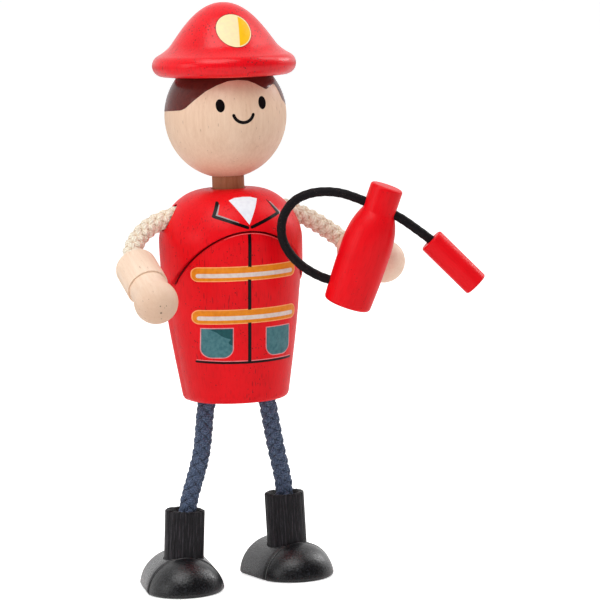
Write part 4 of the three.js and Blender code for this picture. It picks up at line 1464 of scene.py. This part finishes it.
def foot_sections():
    """Places along the foot from heel to toe, each with the share of its full size there, and the tip"""
    toe_radius = (FOOT_HALF_WIDTH**2 + TOE_DEPTH**2) / (2 * TOE_DEPTH)
    toe_middle = FOOT_CREASE + TOE_DEPTH - toe_radius
    sections = []
    for angle in np.radians(np.linspace(90, 0, 7)):
        inset = FOOT_ROUND * (1 - math.cos(angle))
        sections.append((-FOOT_REAR + FOOT_ROUND * (1 - math.sin(angle)), 1 - inset / FOOT_HALF_WIDTH))
    sections.append((0, 1))
    sections += [(FOOT_CREASE + step, 1 - cut_in) for step, cut_in in CREASE_CUT]
    first = math.acos((FOOT_CREASE - toe_middle) / toe_radius)
    for share in np.linspace(0, 1, FOOT_SECTIONS)[:-1]:
        angle = first * (1 - share)
        forward = toe_middle + toe_radius * math.cos(angle)
        if forward > FOOT_CREASE + CREASE_CUT[-1][0] + 0.1:
            sections.append((forward, toe_radius * math.sin(angle) / FOOT_HALF_WIDTH))
    return sections, FOOT_CREASE + TOE_DEPTH


def sole_share(height):
    """How far the foot draws in towards its sole"""
    under = max(0, 1 - height / SOLE_ROUND)
    return 1 - SOLE_ROUND * (1 - math.sqrt(1 - under * under)) / FOOT_HALF_WIDTH


def add_foot(name, side):
    sections, tip = foot_sections()
    vertices = []
    for forward, share in sections:
        for angle in np.linspace(0, math.pi, FOOT_ARCH + 1):
            height = FOOT_HEIGHT * share * math.sin(angle)
            inward = sole_share(height)
            vertices.append((FOOT_HALF_WIDTH * share * math.cos(angle) * inward, -forward * inward, height))
    vertices.append((0, -tip * sole_share(0), 0))
    ring = FOOT_ARCH + 1
    last = (len(sections) - 1) * ring
    faces = [tuple(range(ring))] + ring_faces(0, ring, len(sections))
    faces += [(last + k, last + (k + 1) % ring, len(vertices) - 1) for k in range(ring)]
    turn = Matrix.Rotation(math.radians(side["boot_turn"]), 3, "Z")
    foot = add_mesh(f"{name}_foot_wood", vertices, faces, FOOT_WOOD, stand((*side["boot"], 0), turn))
    up = turn.inverted() @ shaft_direction(side)
    low, high = up * ((SHAFT_SEAT - GAP) / up.z), up * ((FOOT_HEIGHT + BORE_REACH) / up.z)
    cut(foot, [rod(low, high, SHAFT_RADIUS + GAP / 2)])
    finish_piece(foot, f"{name}_boot", f"{name}_boot_foot")


# Cord limbs. A plait: length of one turn, strands each way, and as shares of the cord's radius the
# strands' half thickness and how far they rise and fall; last their width over the room they have
ARM_PLAIT = (10, 4, 0.27, 0.16, 1.06)
LEG_PLAIT = (12.4, 4, 0.21, 0.18, 1.04)
CORE_SHARE = 0.62
CORE_SIDES = 16
STRAND_SIDES = 12
STRAND_STEP = 0.35
WIRE_RADIUS = 0.6
WIRE_SIDES = 16


def strand(path, normals, others, along, turn, start, radius, swing, weave, width, height):
    """One strand that winds round a path and rises and falls as it crosses the others"""
    angle = start + turn * along
    distance = radius + swing * np.cos(weave * along)
    outward = np.cos(angle)[:, None] * normals + np.sin(angle)[:, None] * others
    line = path + distance[:, None] * outward
    tangents = unit_rows(np.gradient(line, axis=0))
    sideways = unit_rows(np.cross(tangents, outward))
    away = np.cross(sideways, tangents)
    turns = round_angles(STRAND_SIDES)[None, :, None]
    across = width * np.cos(turns) * sideways[:, None, :]
    rings = line[:, None, :] + across + height * np.sin(turns) * away[:, None, :]
    return rings, np.linalg.norm(rings - path[:, None, :], axis=2)


def add_cord(name, path, along, radius, plait, material):
    """A plaited cord: a core and two sets of strands that wind opposite ways over and under each other"""
    lead, carriers, rise, weave, fullness = plait
    _, normals, others = carried_frames(path)
    height, swing = rise * radius, weave * radius
    middle = radius - height - swing
    turn = 2 * math.pi / lead
    spacing = 2 * math.pi * middle / carriers
    width = 0.5 * spacing * math.cos(math.atan(turn * middle)) * fullness
    vertices, faces, spots, depths = [], [], [], []

    def add_rings(rings, reach, v_scale):
        low = len(vertices)
        count, sides = rings.shape[:2]
        vertices.extend(map(tuple, rings.reshape(-1, 3)))
        depths.extend((reach / radius).reshape(-1))
        for first, v in ((low, 0), (low + (count - 1) * sides, 1)):
            faces.append(tuple(range(first, first + sides)))
            spots.append([(k / sides, v) for k in range(sides)])
        faces.extend(ring_faces(low, sides, count))
        for v, w in zip(along * v_scale, along[1:] * v_scale):
            for left, right in ((k / sides, (k + 1) / sides) for k in range(sides)):
                spots.append([(left, v), (right, v), (right, w), (left, w)])

    core = CORE_SHARE * radius
    turns = round_angles(CORE_SIDES)[None, :, None]
    spokes = np.cos(turns) * normals[:, None, :] + np.sin(turns) * others[:, None, :]
    add_rings(path[:, None, :] + core * spokes, np.full((len(path), CORE_SIDES), core), 1)
    for way in (1, -1):
        for carrier in range(carriers):
            start = 2 * math.pi * carrier / carriers
            rings, reach = strand(
                path, normals, others, along, way * turn, start, middle, way * swing,
                carriers * turn, width, height,
            )
            add_rings(rings, reach, 0.5)
    cord = add_mesh(name, vertices, faces, material)
    mesh = cord.data
    mesh.attributes.new("depth", "FLOAT", "POINT").data.foreach_set("value", np.array(depths, np.float32))
    layer = mesh.uv_layers.new(name="threads")
    corners = {}
    for face, uv in zip(faces, spots):
        corners[frozenset(face)] = dict(zip(face, uv))
    for polygon in mesh.polygons:
        known = corners[frozenset(polygon.vertices)]
        for loop, vertex in zip(polygon.loop_indices, polygon.vertices):
            layer.data[loop].uv = known[vertex]
    return cord


def arm_path(side):
    mouth, out = arm_root(side)
    towards = hand_direction(side)
    hand = Vector(side["hand_top"])
    ease_out, ease_in = side["arm_ease"]
    bend = [mouth + out, mouth + out * (1 + ease_out), hand - towards * ease_in, hand]
    points = [mouth - out * ARM_ROOT_DEPTH, mouth - out * (ARM_ROOT_DEPTH / 2)]
    for step in range(6):
        t = step / 5
        shares = [(1 - t) ** 3, 3 * t * (1 - t) ** 2, 3 * t * t * (1 - t), t**3]
        points.append(sum((p * s for p, s in zip(bend, shares)), Vector()))
    points += [hand + towards * (HAND_CORD_DEPTH / 2), hand + towards * HAND_CORD_DEPTH]
    return centripetal(points)


def leg_path(side):
    mouth, out = leg_root(side)
    boot = along_shaft(side, side["shaft_top"])
    towards = -shaft_direction(side)
    shift = Vector((-side["sign"] * side["cord_offset"], 0, 0))
    entry = boot + shift
    knee = Vector((side["sign"] * side["knee"][0], side["knee"][1], side["knee"][2]))
    points = [mouth - out * LEG_ROOT_DEPTH, mouth, mouth + out * LEG_RADIUS]
    points += [(mouth + entry) / 2 + knee, entry - towards * LEG_RADIUS]
    points += [boot + towards * (MOUTH_DEPTH / 2) + shift / 2, boot + towards * MOUTH_DEPTH]
    points.append(boot + towards * LEG_IN_BOOT)
    return centripetal(points)


def add_limb(name, kind, path, radius, plait, material):
    """A cord limb in two halves, one at the torso and the other at the hand or the boot, each round a wire
    core
    """
    path, along = even_steps(path, STRAND_STEP)
    limb = f"{name}_{kind}"
    half = len(path) // 2
    halves = {"upper": slice(0, half + 1), "lower": slice(half, len(path))}
    for part, span in halves.items():
        cord = add_cord(f"{limb}_cord_{part}", path[span], along[span], radius, plait, material)
        cord.matrix_world = DOLL_STAND
        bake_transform(cord)
        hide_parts(f"{limb}_rope")
        core = tube(path[span], along[span], lambda angles, _: np.full_like(angles, WIRE_RADIUS), WIRE_SIDES)
        wire = add_mesh(f"{limb}_core_{part}", *core, WIRE_METAL, DOLL_STAND)
        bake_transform(wire)
        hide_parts(f"{limb}_wire")


for side_name, side_values in SIDES.items():
    add_hand(side_name, side_values)
    add_shaft(side_name, side_values)
    add_foot(side_name, side_values)
    add_limb(
        side_name, "arm", arm_path(side_values), ARM_RADIUS, ARM_PLAIT, CREAM_CORD,
    )
    add_limb(
        side_name, "leg", leg_path(side_values), LEG_RADIUS, LEG_PLAIT, NAVY_CORD,
    )

# The two hidden pegs stay as the frame has them, in the same wood as the neck
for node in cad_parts.values():
    if not node.hide_render:
        node.data.materials.clear()
        node.data.materials.append(NECK_WOOD)


# Floor, light and background
FLOOR_REACH = 40  # metres to each side
FLOOR_GLOW = 0.6
WORLD_LEVEL = 0.42
ROOM_LEVEL = 0.08  # of the room in front of the doll, where the pieces mirror it
BACKDROP_EDGE = (-0.25, 0.35)  # directions between which the room gives way to the pale backdrop
LAMP_AIM = 80

# Lamps: degrees round the doll from its front and up, distance and size in metres, power in watts
LAMPS = {
    "top_lamp": (-38, 62, 1.0, 0.7, 6.2),
    "window_lamp": (107, 24, 0.9, 0.22, 1.5),
    "side_lamp": (90, 47, 1.0, 0.4, 1.6),
    "left_lamp": (-76, 18, 1.2, 0.5, 2.0),
}


def add_floor():
    finish = Finish("floor_white", roughness=0.9)
    path = finish.add("ShaderNodeLightPath")
    speckle = finish.noise(finish.place((0.01, 0.01, 0.01)), 4, 2)
    finish.colour(finish.mix(speckle, linear(250, 250, 250), linear(252, 252, 252)))
    finish.shader.inputs["Emission Color"].default_value = (1, 1, 1, 1)
    glow = finish.times(path.outputs["Is Camera Ray"], FLOOR_GLOW)
    finish.tree.links.new(glow, finish.shader.inputs["Emission Strength"])
    reach = FLOOR_REACH
    corners = [(-reach, -reach, 0), (reach, -reach, 0), (reach, reach, 0), (-reach, reach, 0)]
    mesh = bpy.data.meshes.new("floor")
    mesh.from_pydata(corners, [], [(0, 1, 2, 3)])
    link_object("floor", mesh, finish.material, Matrix.Identity(4))


def add_lamp(name, azimuth, elevation, distance, size, power):
    """An area lamp aimed at the middle of the doll"""
    target = place(0, 0, LAMP_AIM)
    turn, rise = math.radians(azimuth), math.radians(elevation)
    away = Vector((math.sin(turn) * math.cos(rise), -math.cos(turn) * math.cos(rise), math.sin(rise)))
    data = bpy.data.lights.new(name, "AREA")
    data.size = size
    data.energy = power
    lamp = bpy.data.objects.new(name, data)
    bpy.context.scene.collection.objects.link(lamp)
    aim = away.to_track_quat("Z", "Y").to_matrix().to_4x4()
    lamp.matrix_world = Matrix.Translation(target + away * distance) @ aim


def add_world():
    """A plain level on the doll, with a backdrop that is white to the eye and in the pieces' shine"""
    world = bpy.data.worlds.new("studio")
    bpy.context.scene.world = world
    world.use_nodes = True
    nodes = Nodes(world.node_tree)
    rays = nodes.add("ShaderNodeLightPath").outputs
    shown = rays["Is Camera Ray"]
    direct = nodes.larger(nodes.larger(shown, rays["Is Glossy Ray"]), rays["Is Transmission Ray"])
    direction = nodes.add("ShaderNodeTexCoord").outputs["Generated"]
    backward = nodes.add("ShaderNodeSeparateXYZ", {0: direction}).outputs["Y"]
    backdrop = nodes.span(backward, *BACKDROP_EDGE, ROOM_LEVEL, 1, "SMOOTHSTEP")
    strength = nodes.span(direct, 0, 1, WORLD_LEVEL, nodes.larger(backdrop, shown))
    background = nodes.tree.nodes["Background"].inputs
    background["Color"].default_value = (1, 1, 1, 1)
    nodes.tree.links.new(strength, background["Strength"])


add_floor()
add_world()
for lamp_name, lamp_values in LAMPS.items():
    add_lamp(lamp_name, *lamp_values)
bpy.context.scene.view_settings.view_transform = "Standard"
